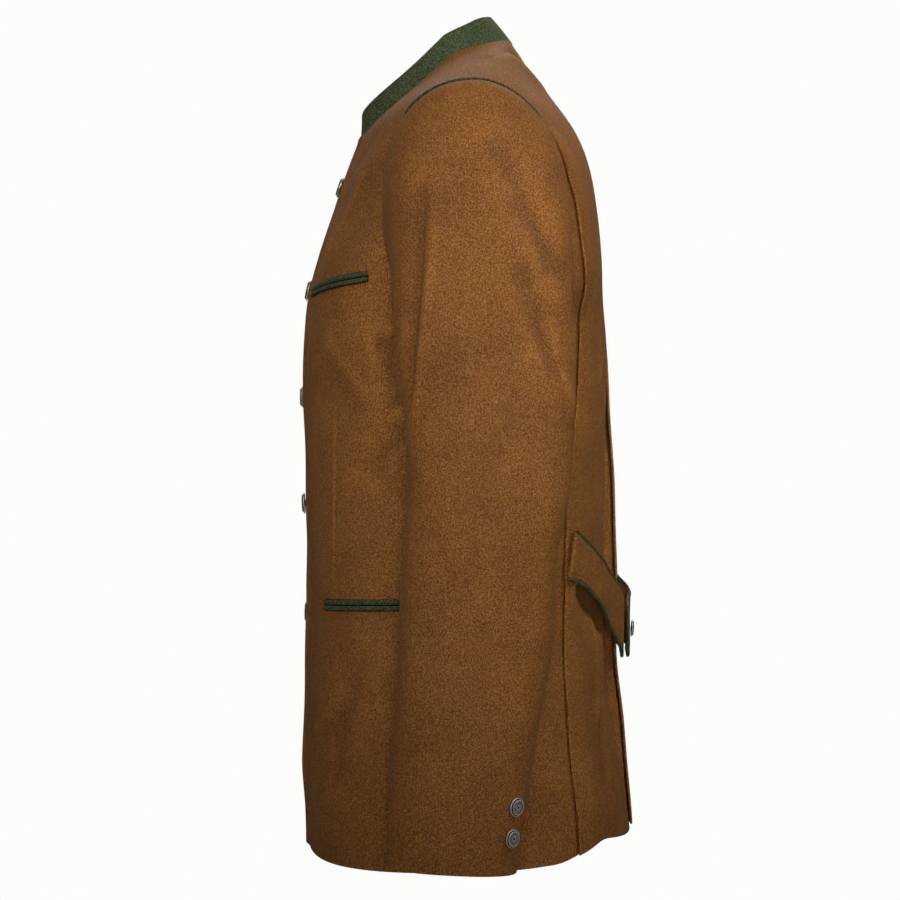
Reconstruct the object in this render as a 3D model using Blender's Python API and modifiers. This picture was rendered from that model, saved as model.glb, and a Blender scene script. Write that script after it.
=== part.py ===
"""A men's tyrolean loden jacket, filled out as if it were worn, with nothing inside it.

Metres, +Z up. The front faces -Y and the wearer's left is +X. The origin is the middle of the neck
opening, level with the points where the shoulder seams meet the collar: the wearer's shoulders hold
the jacket there.

Every cloth piece is a wall lofted through rows that are worked out from the tables below. A row of the
trunk runs from the centre line, or from the neckline, to the side seam, or to the armhole. A level of 0
is the hem, 1 the armpit and 2 the shoulder seam. The two halves share one form, so that neighbours meet
edge to edge, and what lies on a panel is made from that panel's points, moved out.
"""

import math

import bpy
import numpy as np
from mathutils import Vector

# ------------------------------------------------------------------ driving sizes
CLOTH = 0.0024  # one layer of loden
DOUBLED = 0.0034  # collar and belt, two layers pressed together
TRIM = 0.0016  # a pocket's piped edge
TRIM_GAP = 0.0007  # under it
SEAM_GAP = 0.0003  # between pieces that meet edge to edge
LAP_GAP = 0.0011  # between pieces that lie on each other
LAP = CLOTH + LAP_GAP  # how far an upper layer stands off a lower one

HEM_FRONT = -0.7015  # heights of the hem on the centre front, the side seam and the centre back
HEM_SIDE = -0.6995
HEM_BACK = -0.6895
ARMPIT_CENTRE = -0.235  # the armpit's level on the centre lines
OVERLAP = 0.018  # each front passes the centre line by this
CORNER_RADIUS = 0.018  # the fronts' lower corners
CORNER_FADE = 0.080  # above the hem, the rounding's effect is gone

NECK_HALF_WIDTH = 0.0765  # at the shoulder points of the neckline
NECK_MIDDLE = 0.0126
NECK_FRONT = -0.0715
NECK_BACK = 0.0660
NECK_FRONT_SLOPE = 0.861  # rise over run of the neckline, seen from the side
NECK_BACK_RISE = 0.020
COLLAR_GAP = 0.014  # half the opening between the collar's ends
FRONT_TOP = -0.091  # height of the front edge's top corner

ARMHOLE_MIDDLE = (0.031, -0.145)  # y and z
ARMHOLE_HALF = (0.078, 0.100)
ARMHOLE_POWERS = (0.86, 0.88, 0.88, 1.06)  # for its quarters from the top over the front: under 1 is squarer
SHOULDER_ANGLE = 16.0  # where the shoulder seam meets the armhole, forward of its top

FRONT_STEPS = 12  # parts of the armhole from the shoulder seam over the front to the armpit
BACK_STEPS = 14  # and from the armpit over the back to the shoulder seam again
FRONT_SEAM_STEP = 8  # the sleeve's long seams meet the armhole at these steps
BACK_SEAM_STEP = 6

PIPING_RADIUS = 0.0012
PIPING_REACH = 47.0  # degrees of the armhole to each side of its top
COLLAR_FOOT = 0.025  # the share of the collar's height left free under it
BUTTON_STEPS = 24
CUFF_BUTTON_SCALE = 0.80
BUTTON_GAP = 0.0006  # under a button's shank
FRONT_BUTTON_HEIGHTS = (-0.1120, -0.2054, -0.3008, -0.3970, -0.4960)
CUFF_BUTTON_HEIGHTS = (-0.6325, -0.6575)
CUFF_BUTTON_ANGLE = -54.0  # degrees round the sleeve

# ------------------------------------------------------------------ short tables
# Profiles of the trunk in the middle plane. The wearer's right back stands prouder than the left,
# because the centre pleat hangs open.
PROFILE_COLUMNS = ("height", "front", "back", "right_back")
PROFILE = (
    (-0.720, -0.1160, 0.1755, 0.1780),
    (-0.650, -0.1175, 0.1665, 0.1730),
    (-0.600, -0.1170, 0.1570, 0.1685),
    (-0.545, -0.1155, 0.1505, 0.1635),
    (-0.485, -0.1140, 0.1478, 0.1622),
    (-0.424, -0.1150, 0.1485, 0.1608),
    (-0.360, -0.1175, 0.1503, 0.1590),
    (-0.300, -0.1190, 0.1510, 0.1560),
    (-0.250, -0.1180, 0.1500, 0.1510),
    (-0.213, -0.1140, 0.1475, 0.1475),
    (-0.176, -0.1045, 0.1460, 0.1460),
    (-0.140, -0.0940, 0.1435, 0.1435),
    (-0.104, -0.0825, 0.1370, 0.1370),
    (-0.079, -0.0725, 0.1285, 0.1285),
    (-0.057, -0.0600, 0.1180, 0.1180),
    (-0.035, -0.0480, 0.1040, 0.1040),
    (-0.013, -0.0380, 0.0870, 0.0870),
    (0.008, -0.0300, 0.0740, 0.0740),
    (0.020, -0.0260, 0.0660, 0.0660),
)
SIDE_COLUMNS = ("height", "half_width", "middle")
SIDE = (
    (-0.700, 0.2050, 0.027),
    (-0.600, 0.1990, 0.027),
    (-0.500, 0.1895, 0.027),
    (-0.400, 0.1840, 0.028),
    (-0.320, 0.1890, 0.030),
    (-0.245, 0.1970, 0.031),
)
# How far the back's hem lies above a straight fall from the centre to the side, by its share of the
# depth between them. Rows above the hem follow it less and less, up to the armpit.
HEM_WAVE_COLUMNS = ("depth", "rise")
HEM_WAVE = (
    (0.00, 0.0000),
    (0.10, 0.0060),
    (0.21, 0.0100),
    (0.36, 0.0040),
    (0.47, -0.0004),
    (0.60, -0.0010),
    (1.00, 0.0000),
)
# Above the armpit: how far the row has risen up the centre line and neckline (0 to 1), where it ends
# on the armhole (degrees from its top, over the front or over the back), and how far it turns.
YOKE_COLUMNS = ("share", "armhole", "turn", "square")
YOKE_FRONT = (
    (0.00, 180.0, 90.0, 0.74),
    (0.15, 122.0, 78.0, 0.80),
    (0.35, 91.0, 62.0, 0.92),
    (0.52, 64.0, 48.0, 1.00),
    (0.76, 38.0, 34.0, 1.00),
    (1.00, 16.0, 24.0, 1.00),
)
YOKE_BACK = (
    (0.00, 180.0, 90.0, 0.87),
    (0.12, 238.0, 80.0, 0.90),
    (0.25, 268.0, 66.0, 0.95),
    (0.38, 294.0, 54.0, 1.00),
    (0.52, 316.0, 44.0, 1.00),
    (0.68, 334.0, 34.0, 1.00),
    (1.00, 376.0, 24.0, 1.00),
)
YOKES = {"front": YOKE_FRONT, "back": YOKE_BACK}
NECK_SHARE = {"front": 0.52, "back": 0.68}  # where the centre line ends and the neckline starts

PLEAT_COLUMNS = ("level", "x")  # the action pleat's folded edge
PLEAT = (
    (0.00, 0.1720),
    (0.20, 0.1650),
    (0.40, 0.1570),
    (0.60, 0.1500),
    (0.80, 0.1460),
    (0.90, 0.1445),
    (1.00, 0.1485),
    (1.06, 0.1590),
    (1.15, 0.1775),
    (1.25, 0.1905),
    (1.34, 0.2040),
)
PLEAT_END = 1.34  # there it runs into the armhole

ARMHOLE_COLUMNS = ("angle", "half_width")
ARMHOLE = (
    (-45.0, 0.2090),
    (0.0, 0.2215),
    (45.0, 0.2040),
    (90.0, 0.1840),
    (135.0, 0.1880),
    (180.0, 0.1970),
    (225.0, 0.1985),
    (270.0, 0.1995),
    (315.0, 0.2090),
    (360.0, 0.2215),
    (405.0, 0.2040),
)
SLEEVE_COLUMNS = ("height", "middle_x", "middle_y", "half_y", "half_x")
SLEEVE = (
    (-0.688, 0.2525, 0.0115, 0.0535, 0.0360),
    (-0.625, 0.2520, 0.0170, 0.0555, 0.0380),
    (-0.552, 0.2515, 0.0255, 0.0585, 0.0410),
    (-0.503, 0.2510, 0.0310, 0.0615, 0.0430),
    (-0.422, 0.2505, 0.0360, 0.0630, 0.0450),
    (-0.373, 0.2500, 0.0415, 0.0660, 0.0465),
    (-0.333, 0.2490, 0.0425, 0.0675, 0.0470),
    (-0.275, 0.2465, 0.0385, 0.0725, 0.0480),
)
SLEEVE_TOP = -0.275  # under this height a sleeve's rings lie level
SLEEVE_SQUARE = 0.86
CUFF_TILT = -0.055  # the cuff drops to the back by this, per metre of depth

# The collar: how far its top edge lies in from the neckline, forward of it and above it, by the turn
# from the centre front (0 degrees) over the shoulder seam (90) to the centre back (180).
COLLAR_COLUMNS = ("turn", "inward", "forward", "upward")
COLLAR = (
    (10.0, 0.0020, -0.0015, 0.0215),
    (30.0, 0.0060, 0.0070, 0.0190),
    (45.0, 0.0100, 0.0115, 0.0160),
    (70.0, 0.0130, 0.0112, 0.0135),
    (90.0, 0.0130, 0.0079, 0.0185),
    (120.0, 0.0110, 0.0094, 0.0225),
    (150.0, 0.0060, 0.0160, 0.0225),
    (180.0, 0.0000, 0.0190, 0.0215),
)
COLLAR_CORNER = 0.007

# Each half of the back belt, from the action pleat over the centre. The left half lies under the
# right one, which stands off it.
BELT_COLUMNS = ("x", "left_y", "right_y", "height", "width")
BELT = (
    (0.1560, 0.1128, 0.1225, -0.4375, 0.0390),
    (0.1300, 0.1280, 0.1385, -0.4478, 0.0335),
    (0.1050, 0.1395, 0.1510, -0.4604, 0.0332),
    (0.0800, 0.1480, 0.1585, -0.4739, 0.0353),
    (0.0500, 0.1575, 0.1652, -0.4902, 0.0440),
    (0.0250, 0.1645, 0.1728, -0.5035, 0.0450),
    (0.0000, 0.1662, 0.1716, -0.5118, 0.0450),
    (-0.0150, 0.1668, 0.1706, -0.5165, 0.0430),
)
BELT_BUTTON_X = -0.001

# Piped pocket edges: the lengths along the rows where they start and end, the level at both ends, how far
# the middle hangs below a straight run of levels, the height of one edge and the slit between the two.
POCKET_COLUMNS = ("start", "end", "start_level", "end_level", "bow", "height", "slit")
CHEST_POCKET = (0.068, 0.1915, 1.082, 1.136, 0.008, 0.0037, 0.0010)
HIP_POCKET = (0.118, 0.270, 0.470, 0.488, 0.000, 0.0038, 0.0010)

# A button in section: radius and height, from the axis of its foot to the axis of its face.
BUTTON_COLUMNS = ("radius", "height")
BUTTON = (
    (0.0000, 0.0000),
    (0.0030, 0.0000),
    (0.0030, 0.0005),
    (0.0084, 0.0008),
    (0.0095, 0.0016),
    (0.0095, 0.0026),
    (0.0088, 0.0034),
    (0.0066, 0.0034),
    (0.0059, 0.0025),
    (0.0030, 0.0024),
    (0.0016, 0.0032),
    (0.0000, 0.0034),
)


def smooth_read(columns, rows, name, at):
    """The named column at a value of the first one, on a smooth curve through the table's rows."""
    data = np.array(rows, float)
    data = data[np.argsort(data[:, 0])]
    keys = data[:, 0]
    values = data[:, columns.index(name)]
    slopes = np.gradient(values, keys)
    at = np.clip(np.asarray(at, float), keys[0], keys[-1])
    i = np.clip(np.searchsorted(keys, at, side="right") - 1, 0, len(keys) - 2)
    span = keys[i + 1] - keys[i]
    t = (at - keys[i]) / span
    return (
        values[i] * (1 + 2 * t) * (1 - t) ** 2
        + slopes[i] * span * t * (1 - t) ** 2
        + values[i + 1] * t * t * (3 - 2 * t)
        + slopes[i + 1] * span * t * t * (t - 1)
    )


def profile(name, height):
    return smooth_read(PROFILE_COLUMNS, PROFILE, name, height)


def side(name, height):
    return smooth_read(SIDE_COLUMNS, SIDE, name, height)


def ease(value, low, high):
    """0 below low, 1 above high, and a smooth step between them."""
    t = np.clip((np.asarray(value, float) - low) / (high - low), 0, 1)
    return t * t * (3 - 2 * t)


# ------------------------------------------------------------------ the trunk's form
def armhole_point(angle):
    """A point of the left armhole. 0 degrees is its top, 90 the front, 180 the armpit, 270 the back."""
    turn = np.radians(angle)
    sine, cosine = np.sin(turn), np.cos(turn)
    power = np.take(ARMHOLE_POWERS, (np.mod(angle, 360.0) // 90).astype(int))
    y = ARMHOLE_MIDDLE[0] - ARMHOLE_HALF[0] * np.sign(sine) * np.abs(sine) ** power
    z = ARMHOLE_MIDDLE[1] + ARMHOLE_HALF[1] * np.sign(cosine) * np.abs(cosine) ** power
    x = smooth_read(ARMHOLE_COLUMNS, ARMHOLE, "half_width", angle)
    return np.stack([x, y, z], axis=-1)


def neckline_point(part, angle):
    """A point of the left half of the neckline. 0 degrees is the centre line, 90 the shoulder seam."""
    turn = math.radians(angle)
    reach = {"front": NECK_FRONT, "back": NECK_BACK}[part] - NECK_MIDDLE
    run = reach * math.cos(turn)
    rise = NECK_FRONT_SLOPE if part == "front" else NECK_BACK_RISE / reach
    return np.array([NECK_HALF_WIDTH * math.sin(turn), NECK_MIDDLE + run, run * rise])


NECK_START = math.degrees(math.asin(COLLAR_GAP / NECK_HALF_WIDTH))
CENTRE_TOP = {"front": neckline_point("front", NECK_START)[2], "back": NECK_BACK_RISE}


def yoke_start(part, share):
    """Where a row above the armpit starts: up the centre line, and then along the neckline."""
    turning = NECK_SHARE[part]
    if share < turning - 1e-6:
        height = ARMPIT_CENTRE + (CENTRE_TOP[part] - ARMPIT_CENTRE) * share / turning
        return np.array([0.0, float(profile(part, height)), height])
    first = {"front": NECK_START, "back": 0.0}[part]
    return neckline_point(part, first + (90 - first) * (share - turning) / (1 - turning))


def trunk_row(part, level, source=None):
    """One row of the left half as a close polyline, from the centre line or the neckline outwards."""
    if level <= 1:
        low = {"front": HEM_FRONT, "back": HEM_BACK}[part]
        middle = low + (ARMPIT_CENTRE - low) * level
        outside = HEM_SIDE + (armhole_point(180.0)[2] - HEM_SIDE) * level
        start = np.array([0.0, float(profile(source or part, middle)), middle])
        end = np.array([float(side("half_width", outside)), float(side("middle", outside)), outside])
        turn, square, straight = math.radians(90), YOKES[part][0][3], 0.0
    else:
        share = level - 1
        start = yoke_start(part, share)
        end, turn, square = (
            float(smooth_read(YOKE_COLUMNS, YOKES[part], name, share)) for name in YOKE_COLUMNS[1:]
        )
        end, turn, straight = armhole_point(end), math.radians(turn), share
    steps = 0.5 - 0.5 * np.cos(np.linspace(0, math.pi, 161))
    across = (np.sin(turn * steps) / math.sin(turn)) ** square
    around = 1 - np.clip(1 - (1 - np.cos(turn * steps)) / (1 - math.cos(turn)), 0, 1) ** square
    rise = around * (1 - straight) + across * straight
    row = start + (end - start) * np.stack([across, around, rise], axis=1)
    if part == "back":
        row[:, 2] += smooth_read(HEM_WAVE_COLUMNS, HEM_WAVE, "rise", around) * max(1 - level, 0)
    return row


def lengths_of(row):
    return np.concatenate([[0], np.cumsum(np.linalg.norm(np.diff(row, axis=0), axis=1))])


def at_lengths(row, lengths):
    """Points of a row at these distances from its first point. Negative ones are on the other half."""
    lengths = np.asarray(lengths, float)
    known = lengths_of(row)
    found = np.stack([np.interp(np.abs(lengths), known, row[:, k]) for k in range(3)], axis=1)
    found[:, 0] *= np.where(lengths < 0, -1, 1)
    return found


def total_of(part, level, source=None):
    return float(lengths_of(trunk_row(part, level, source))[-1])


def length_at_x(row, x):
    return float(np.interp(x, row[:, 0], lengths_of(row)))


def front_edge(level):
    """How far from the centre line a front starts: past it, and then trimmed back to the collar's end."""
    if level <= 1:
        return -OVERLAP
    if level - 1 > NECK_SHARE["front"] - 1e-6:
        return 0.0
    height = yoke_start("front", level - 1)[2]
    back_from_centre = np.clip((height - FRONT_TOP) / (CENTRE_TOP["front"] - FRONT_TOP), 0, 1)
    return -OVERLAP + (OVERLAP + COLLAR_GAP) * float(back_from_centre)


def pleat_length(level, row):
    """How far along a back row the action pleat's folded edge lies."""
    x = float(smooth_read(PLEAT_COLUMNS, PLEAT, "x", level))
    return length_at_x(row, x) if level < PLEAT_END else float(lengths_of(row)[-1])


OTHER = {"front": "back", "back": "front"}


def form_point(part, level, lengths, source=None):
    """Points of the form, read over its seams: past the side seam they go on round the other part."""
    row = trunk_row(part, level, source)
    found = at_lengths(row, lengths)
    past = np.asarray(lengths) - lengths_of(row)[-1]
    if level <= 1 and (past > 0).any():
        other = trunk_row(OTHER[part], level)
        beyond = at_lengths(other, np.maximum(lengths_of(other)[-1] - past, 0))
        found[past > 0] = beyond[past > 0]
    return found


def form_grid(part, levels, columns_of, source=None):
    """Points and outward unit normals of a panel. columns_of(level, row) gives each row's distances.

    The normals come from the form, not from the facets: each is read between points a little way off on
    both sides, over the seams too, so that neighbours share their normals where they meet.
    """
    along, up = 0.004, 0.02
    points, normals = [], []
    for level in levels:
        row = trunk_row(part, level, source)
        columns = np.asarray(columns_of(level, row), float)
        share = columns / lengths_of(row)[-1]
        across = form_point(part, level, columns + along, source) - form_point(
            part, level, columns - along, source
        )
        low, high = max(level - up, 0.0), level + up
        above = (part, high) if high < 2 else (OTHER[part], 4 - high)
        if level == 1:  # the rows over the armpit spread fast
            above = (part, 1.0)
        below = at_lengths(trunk_row(part, low, source), share * total_of(part, low, source))
        over_source = source if above[0] == part else None
        over = at_lengths(trunk_row(*above, over_source), share * total_of(*above, over_source))
        normal = np.cross(across, over - below)
        normal /= np.linalg.norm(normal, axis=1, keepdims=True)
        points.append(form_point(part, level, columns, source))
        normals.append(normal if part == "front" else -normal)
    return np.array(points), np.array(normals)


# ------------------------------------------------------------------ meshes
def material(name, colour, roughness, metallic=0.0):
    found = bpy.data.materials.new(name)
    found.use_nodes = True
    shader = found.node_tree.nodes["Principled BSDF"]
    shader.inputs["Base Color"].default_value = (*colour, 1.0)
    shader.inputs["Roughness"].default_value = roughness
    shader.inputs["Metallic"].default_value = metallic
    found.diffuse_color = (*colour, 1.0)
    return found


def new_object(name, vertices, faces, finish):
    mesh = bpy.data.meshes.new(name)
    mesh.from_pydata([tuple(v) for v in vertices], [], [tuple(f) for f in faces])
    mesh.update()
    mesh.materials.append(finish)
    made = bpy.data.objects.new(name, mesh)
    jacket.objects.link(made)
    mesh.shade_smooth()
    return made


def grid_faces(rows, columns, first):
    across, up = np.meshgrid(np.arange(columns - 1), np.arange(rows - 1))
    corner = (first + up * columns + across).ravel()
    return np.stack([corner, corner + 1, corner + 1 + columns, corner + columns], axis=1)


def rim_faces(rows, columns):
    """The faces that join the outer grid's edge to the inner grid's."""
    place = np.arange(rows * columns).reshape(rows, columns)
    loop = np.concatenate([place[0, :-1], place[:-1, -1], place[-1, :0:-1], place[:0:-1, 0]])
    ahead = np.roll(loop, -1)
    return np.stack([ahead, loop, loop + rows * columns, ahead + rows * columns], axis=1)


def wall(name, outer, normals, thickness, finish, mirror=False):
    """A closed wall between a grid of points and the same grid moved in along the form's normals.

    Its rims are mitred, since the normals are the form's: Solidify on each panel alone would square
    them off, and neighbours would cross.
    """
    inner = outer - normals * thickness
    if mirror:
        outer, inner = outer * MIRROR, inner * MIRROR
    rows, columns = outer.shape[:2]
    faces = np.concatenate(
        [
            grid_faces(rows, columns, 0),
            grid_faces(rows, columns, rows * columns)[:, ::-1],
            rim_faces(rows, columns),
        ]
    )
    middle = (rows // 2, columns // 2)
    along = outer[middle] - outer[middle[0], middle[1] - 1]
    up = outer[middle] - outer[middle[0] - 1, middle[1]]
    if np.dot(np.cross(along, up), outer[middle] - inner[middle]) < 0:
        faces = faces[:, ::-1]
    vertices = np.concatenate([outer.reshape(-1, 3), inner.reshape(-1, 3)])
    return new_object(name, vertices, faces, finish)


def cord(name, path, finish, mirror=False):
    """A round cord of piping along a path, tapered to its ends, with filled caps."""
    curve = bpy.data.curves.new(name, "CURVE")
    curve.dimensions = "3D"
    curve.bevel_depth = PIPING_RADIUS
    curve.bevel_resolution = 1
    curve.use_fill_caps = True
    spline = curve.splines.new("POLY")
    spline.points.add(len(path) - 1)
    for i, place in enumerate(path * MIRROR if mirror else path):
        spline.points[i].co = (*place, 1.0)
        spline.points[i].radius = 0.5 if i in (0, len(path) - 1) else 1.0
    curve.materials.append(finish)
    made = bpy.data.objects.new(name, curve)
    jacket.objects.link(made)
    return made


MIRROR = np.array([-1.0, 1.0, 1.0])


# ------------------------------------------------------------------ the trunk's pieces
def armhole_levels(part, angles):
    """The levels whose rows end at these angles of the armhole."""
    shares = np.linspace(0, 1, 801)
    known = smooth_read(YOKE_COLUMNS, YOKES[part], "armhole", shares)
    order = np.argsort(known)
    return 1 + np.interp(angles, known[order], shares[order])


FRONT_ANGLES = np.linspace(180.0, SHOULDER_ANGLE, FRONT_STEPS + 1)
BACK_ANGLES = np.linspace(180.0, 360.0 + SHOULDER_ANGLE, BACK_STEPS + 1)
TOP_LEVEL = 1.9985  # a seam's gap short of the shoulder seam
HEM_LEVELS = np.linspace(0, 1, 9)


def panel_levels(part, angles):
    """Rows from the hem to the armpit, then one for each step of the armhole, and more by the neck."""
    yoke = armhole_levels(part, angles)[1:]
    close = yoke[yoke > 1 + NECK_SHARE[part]]
    between = (close[:-1] + close[1:]) / 2
    return np.unique(np.concatenate([HEM_LEVELS, yoke[:-1], between, [1 + NECK_SHARE[part], TOP_LEVEL]]))


FRONT_LEVELS = panel_levels("front", FRONT_ANGLES)
BACK_LEVELS = panel_levels("back", BACK_ANGLES)

FRONT_COLUMNS = (0.0, 0.006, 0.018, 0.036)  # distances from a front's edge
FRONT_EVEN = 8  # columns from there to the side seam
BACK_EVEN = 5
SIDE_EVEN = 4
TUCK = 0.012  # how far a side piece passes under the back's pleat
LEAST_SIDE = 0.008  # its least width past the pleat's edge
UNDERLAY = 0.040  # half the width of the centre pleat's underlay
RAMP = (0.001, 0.007)  # left and right of the centre, where it rises to the prouder half
UNDERLAY_TOP = 0.985  # the level where the centre pleat starts


def front_columns(level, row):
    total = lengths_of(row)[-1] - SEAM_GAP / 2
    close = front_edge(level) + np.array(FRONT_COLUMNS)
    return np.concatenate([close, np.linspace(close[-1], total, FRONT_EVEN + 1)[1:]])


def round_corner(points, columns):
    """Turns the hem up to the front edge in an arc, which fades out above it."""
    gone = np.clip(CORNER_RADIUS - columns - OVERLAP, 0, CORNER_RADIUS)
    lift = CORNER_RADIUS - np.sqrt(CORNER_RADIUS**2 - gone**2)
    before = points[:, 2].copy()
    points[:, 2] += lift * np.clip(1 - (before - HEM_FRONT) / CORNER_FADE, 0, 1)
    points[:, 1] += profile("front", points[:, 2]) - profile("front", before)


def front(name, upper, mirror, finish):
    points, normals = form_grid("front", FRONT_LEVELS, front_columns)
    for i, level in enumerate(FRONT_LEVELS):
        columns = front_columns(level, trunk_row("front", level))
        if level < 0.5:
            round_corner(points[i], columns)
        if upper:
            over = (1 - ease(columns, OVERLAP + 0.004, OVERLAP + 0.034)) * (1 - ease(level, 1.53, 1.62))
            points[i] += normals[i] * (LAP * over)[:, None]
    return wall(name, points, normals, CLOTH, finish, mirror)


def centre_opening(level):
    """Half the distance between the folded edges of the centre pleat: a seam's gap above it."""
    return SEAM_GAP / 2 + 0.0040 * float(ease(0.97 - level, 0.0, 0.4))


def back_columns(level, row):
    fold = pleat_length(level, row) - (SEAM_GAP / 2 if level >= PLEAT_END else 0)
    even = np.linspace(UNDERLAY, fold - TUCK, BACK_EVEN)
    return np.concatenate([[centre_opening(level), UNDERLAY / 2], even, [fold]])


def side_columns(level, row):
    total = lengths_of(row)[-1] - SEAM_GAP / 2
    fold = min(pleat_length(level, row), total - LEAST_SIDE)
    return np.concatenate([[fold - TUCK], np.linspace(fold, total, SIDE_EVEN)])


def back(name, source, mirror, finish):
    points, normals = form_grid("back", BACK_LEVELS, back_columns, source)
    for i, level in enumerate(BACK_LEVELS):
        columns = back_columns(level, trunk_row("back", level, source))
        over = ease(columns, columns[-1] - 0.05, columns[-1] - TUCK)
        over *= 1 - ease(level, PLEAT_END + 0.03, PLEAT_END + 0.17)
        points[i] += normals[i] * (LAP * over)[:, None]
    return wall(name, points, normals, CLOTH, finish, mirror)


def side_piece(name, source, mirror, finish):
    points, normals = form_grid("back", BACK_LEVELS[BACK_LEVELS < PLEAT_END], side_columns, source)
    return wall(name, points, normals, CLOTH, finish, mirror)


def centre_pleat(name, finish):
    """The underlay behind the two folded edges. It ramps from the left back to the prouder right one."""
    levels = np.append(HEM_LEVELS[HEM_LEVELS < UNDERLAY_TOP - 0.02], UNDERLAY_TOP)
    reach = np.array([UNDERLAY, UNDERLAY / 2, 0.006, RAMP[0]])
    left, normals = form_grid("back", levels, lambda level, row: reach)
    wide = np.array([RAMP[1], UNDERLAY / 2, UNDERLAY, UNDERLAY + 0.015])
    right, right_normals = form_grid("back", levels, lambda level, row: wide, "right_back")
    points = np.concatenate([left, right * MIRROR], axis=1)
    normals = np.concatenate([normals, right_normals * MIRROR], axis=1)
    return wall(name, points - normals * LAP, normals, CLOTH, finish)


def pocket_edge(name, pocket, upper, finish, mirror=False):
    """One piped edge of a pocket: a strip on the front panel's own points, moved out."""
    start, end, start_level, end_level, bow, height, slit = pocket
    shares = np.linspace(0.0, 1.0, 11)
    lengths = start + (end - start) * shares
    levels = start_level + (end_level - start_level) * shares - 4 * bow * shares * (1 - shares)
    points, normals = [], []
    for length, level in zip(lengths, levels):
        found, normal = form_grid("front", [level], lambda level, row: [length])
        points.append(found[0, 0])
        normals.append(normal[0, 0])
    points, normals = np.array(points), np.array(normals)
    up = np.cross(normals, np.gradient(points, axis=0))
    up /= np.linalg.norm(up, axis=1, keepdims=True)
    if up[:, 2].sum() < 0:
        up = -up
    low = slit / 2 if upper else -slit / 2 - height
    grid = np.array([points + up * low, points + up * (low + height)]) + normals * (TRIM_GAP + TRIM)
    return wall(name, grid, np.repeat(normals[None], 2, axis=0), TRIM, finish, mirror)


# ------------------------------------------------------------------ sleeves
CAP_SHARES = (0.0, 0.14, 0.32, 0.52, 0.76)
SLEEVE_HEIGHTS = (-0.275, -0.320, -0.365, -0.410, -0.460, -0.515, -0.570, -0.630, -0.688)
RING_ANGLES = np.concatenate([BACK_ANGLES[BACK_SEAM_STEP:] - 360.0, FRONT_ANGLES[::-1][1:]])
RING_ANGLES = np.concatenate([RING_ANGLES, BACK_ANGLES[1 : BACK_SEAM_STEP + 1]])
UPPER_STEPS = BACK_STEPS - BACK_SEAM_STEP + FRONT_SEAM_STEP
ARMPIT_DROP = 0.0008  # the under sleeve hangs this much further off the armhole
SLEEVE_SEAM_GAP = 0.30  # degrees, half of a seam's gap on this tube


def sleeve_ring(height, angles):
    """A level ring of the left sleeve, in order from outside over the front to the torso's side."""
    turn = np.radians(angles)
    sine, cosine = np.sin(turn), np.cos(turn)
    centre_x, centre_y, half_y, half_x = (
        float(smooth_read(SLEEVE_COLUMNS, SLEEVE, name, height)) for name in SLEEVE_COLUMNS[1:]
    )
    depth = -half_y * np.sign(sine) * np.abs(sine) ** SLEEVE_SQUARE
    x = centre_x + half_x * np.sign(cosine) * np.abs(cosine) ** SLEEVE_SQUARE
    tilt = CUFF_TILT * float(ease(-height, 0.50, 0.685))
    return np.stack([x, centre_y + depth, height + tilt * depth], axis=-1)


def cap_ring(share, angles):
    """A ring of the sleeve head: each point goes out from the armhole and turns down to the arm."""
    start = armhole_point(np.mod(angles, 360.0))
    start[:, 0] += SEAM_GAP + 0.0002 + ARMPIT_DROP * np.clip(-np.cos(np.radians(angles)), 0, 1)
    end = sleeve_ring(SLEEVE_TOP, angles)
    out, drop = math.sin(share * math.pi / 2), 1 - math.cos(share * math.pi / 2)
    return start + (end - start) * np.array([out, 0.5 * (out + drop), drop])


def sleeve_rows(angles, heights=SLEEVE_HEIGHTS):
    rows = [cap_ring(share, angles) for share in CAP_SHARES]
    return np.array(rows + [sleeve_ring(height, angles) for height in heights])


def sleeve_grid(angles):
    points = sleeve_rows(angles)
    around = sleeve_rows(angles + 2.0) - sleeve_rows(angles - 2.0)
    normals = np.cross(around, np.gradient(points, axis=0))
    return points, normals / np.linalg.norm(normals, axis=2, keepdims=True)


def sleeve_piece(name, first, last, finish, mirror):
    """The part of a sleeve between two steps round it."""
    angles = RING_ANGLES[first : last + 1].copy()
    angles[0] += SLEEVE_SEAM_GAP
    angles[-1] -= SLEEVE_SEAM_GAP
    points, normals = sleeve_grid(angles)
    return wall(name, points, normals, CLOTH, finish, mirror)


def armhole_piping(name, finish, mirror):
    """A cord in the corner between the panels and the sleeve, over the top of the armhole."""
    angles = np.linspace(-PIPING_REACH, PIPING_REACH, 19)
    _, sleeve_normals = sleeve_grid(angles)
    path = []
    for angle, sleeve_normal in zip(angles, sleeve_normals[0]):
        part = "front" if angle > SHOULDER_ANGLE else "back"
        level = armhole_levels(part, angle if part == "front" else angle + 360)
        _, normal = form_grid(part, [level], lambda level, row: [lengths_of(row)[-1]])
        between = normal[0, 0] + sleeve_normal
        between /= np.linalg.norm(between)
        stand = (PIPING_RADIUS + SEAM_GAP) / float(between @ sleeve_normal)
        path.append(armhole_point(angle) + [SEAM_GAP, 0, 0] + between * stand)
    return cord(name, np.array(path), finish, mirror)


# ------------------------------------------------------------------ collar
def collar_seam(turn):
    part = "front" if turn <= 90 else "back"
    return neckline_point(part, turn if turn <= 90 else 180 - turn)


def neck_turns():
    """The turns at which the panels' rows meet the neckline."""
    front_share = (FRONT_LEVELS - 1 - NECK_SHARE["front"]) / (1 - NECK_SHARE["front"])
    back_share = (BACK_LEVELS - 1 - NECK_SHARE["back"]) / (1 - NECK_SHARE["back"])
    over_front = NECK_START + (90 - NECK_START) * front_share[front_share > 0.01][:-1]
    over_back = 180 - 90 * back_share[back_share > 0.01][-2::-1]
    return np.concatenate([over_front, [90.0], over_back, [180.0]])


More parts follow.
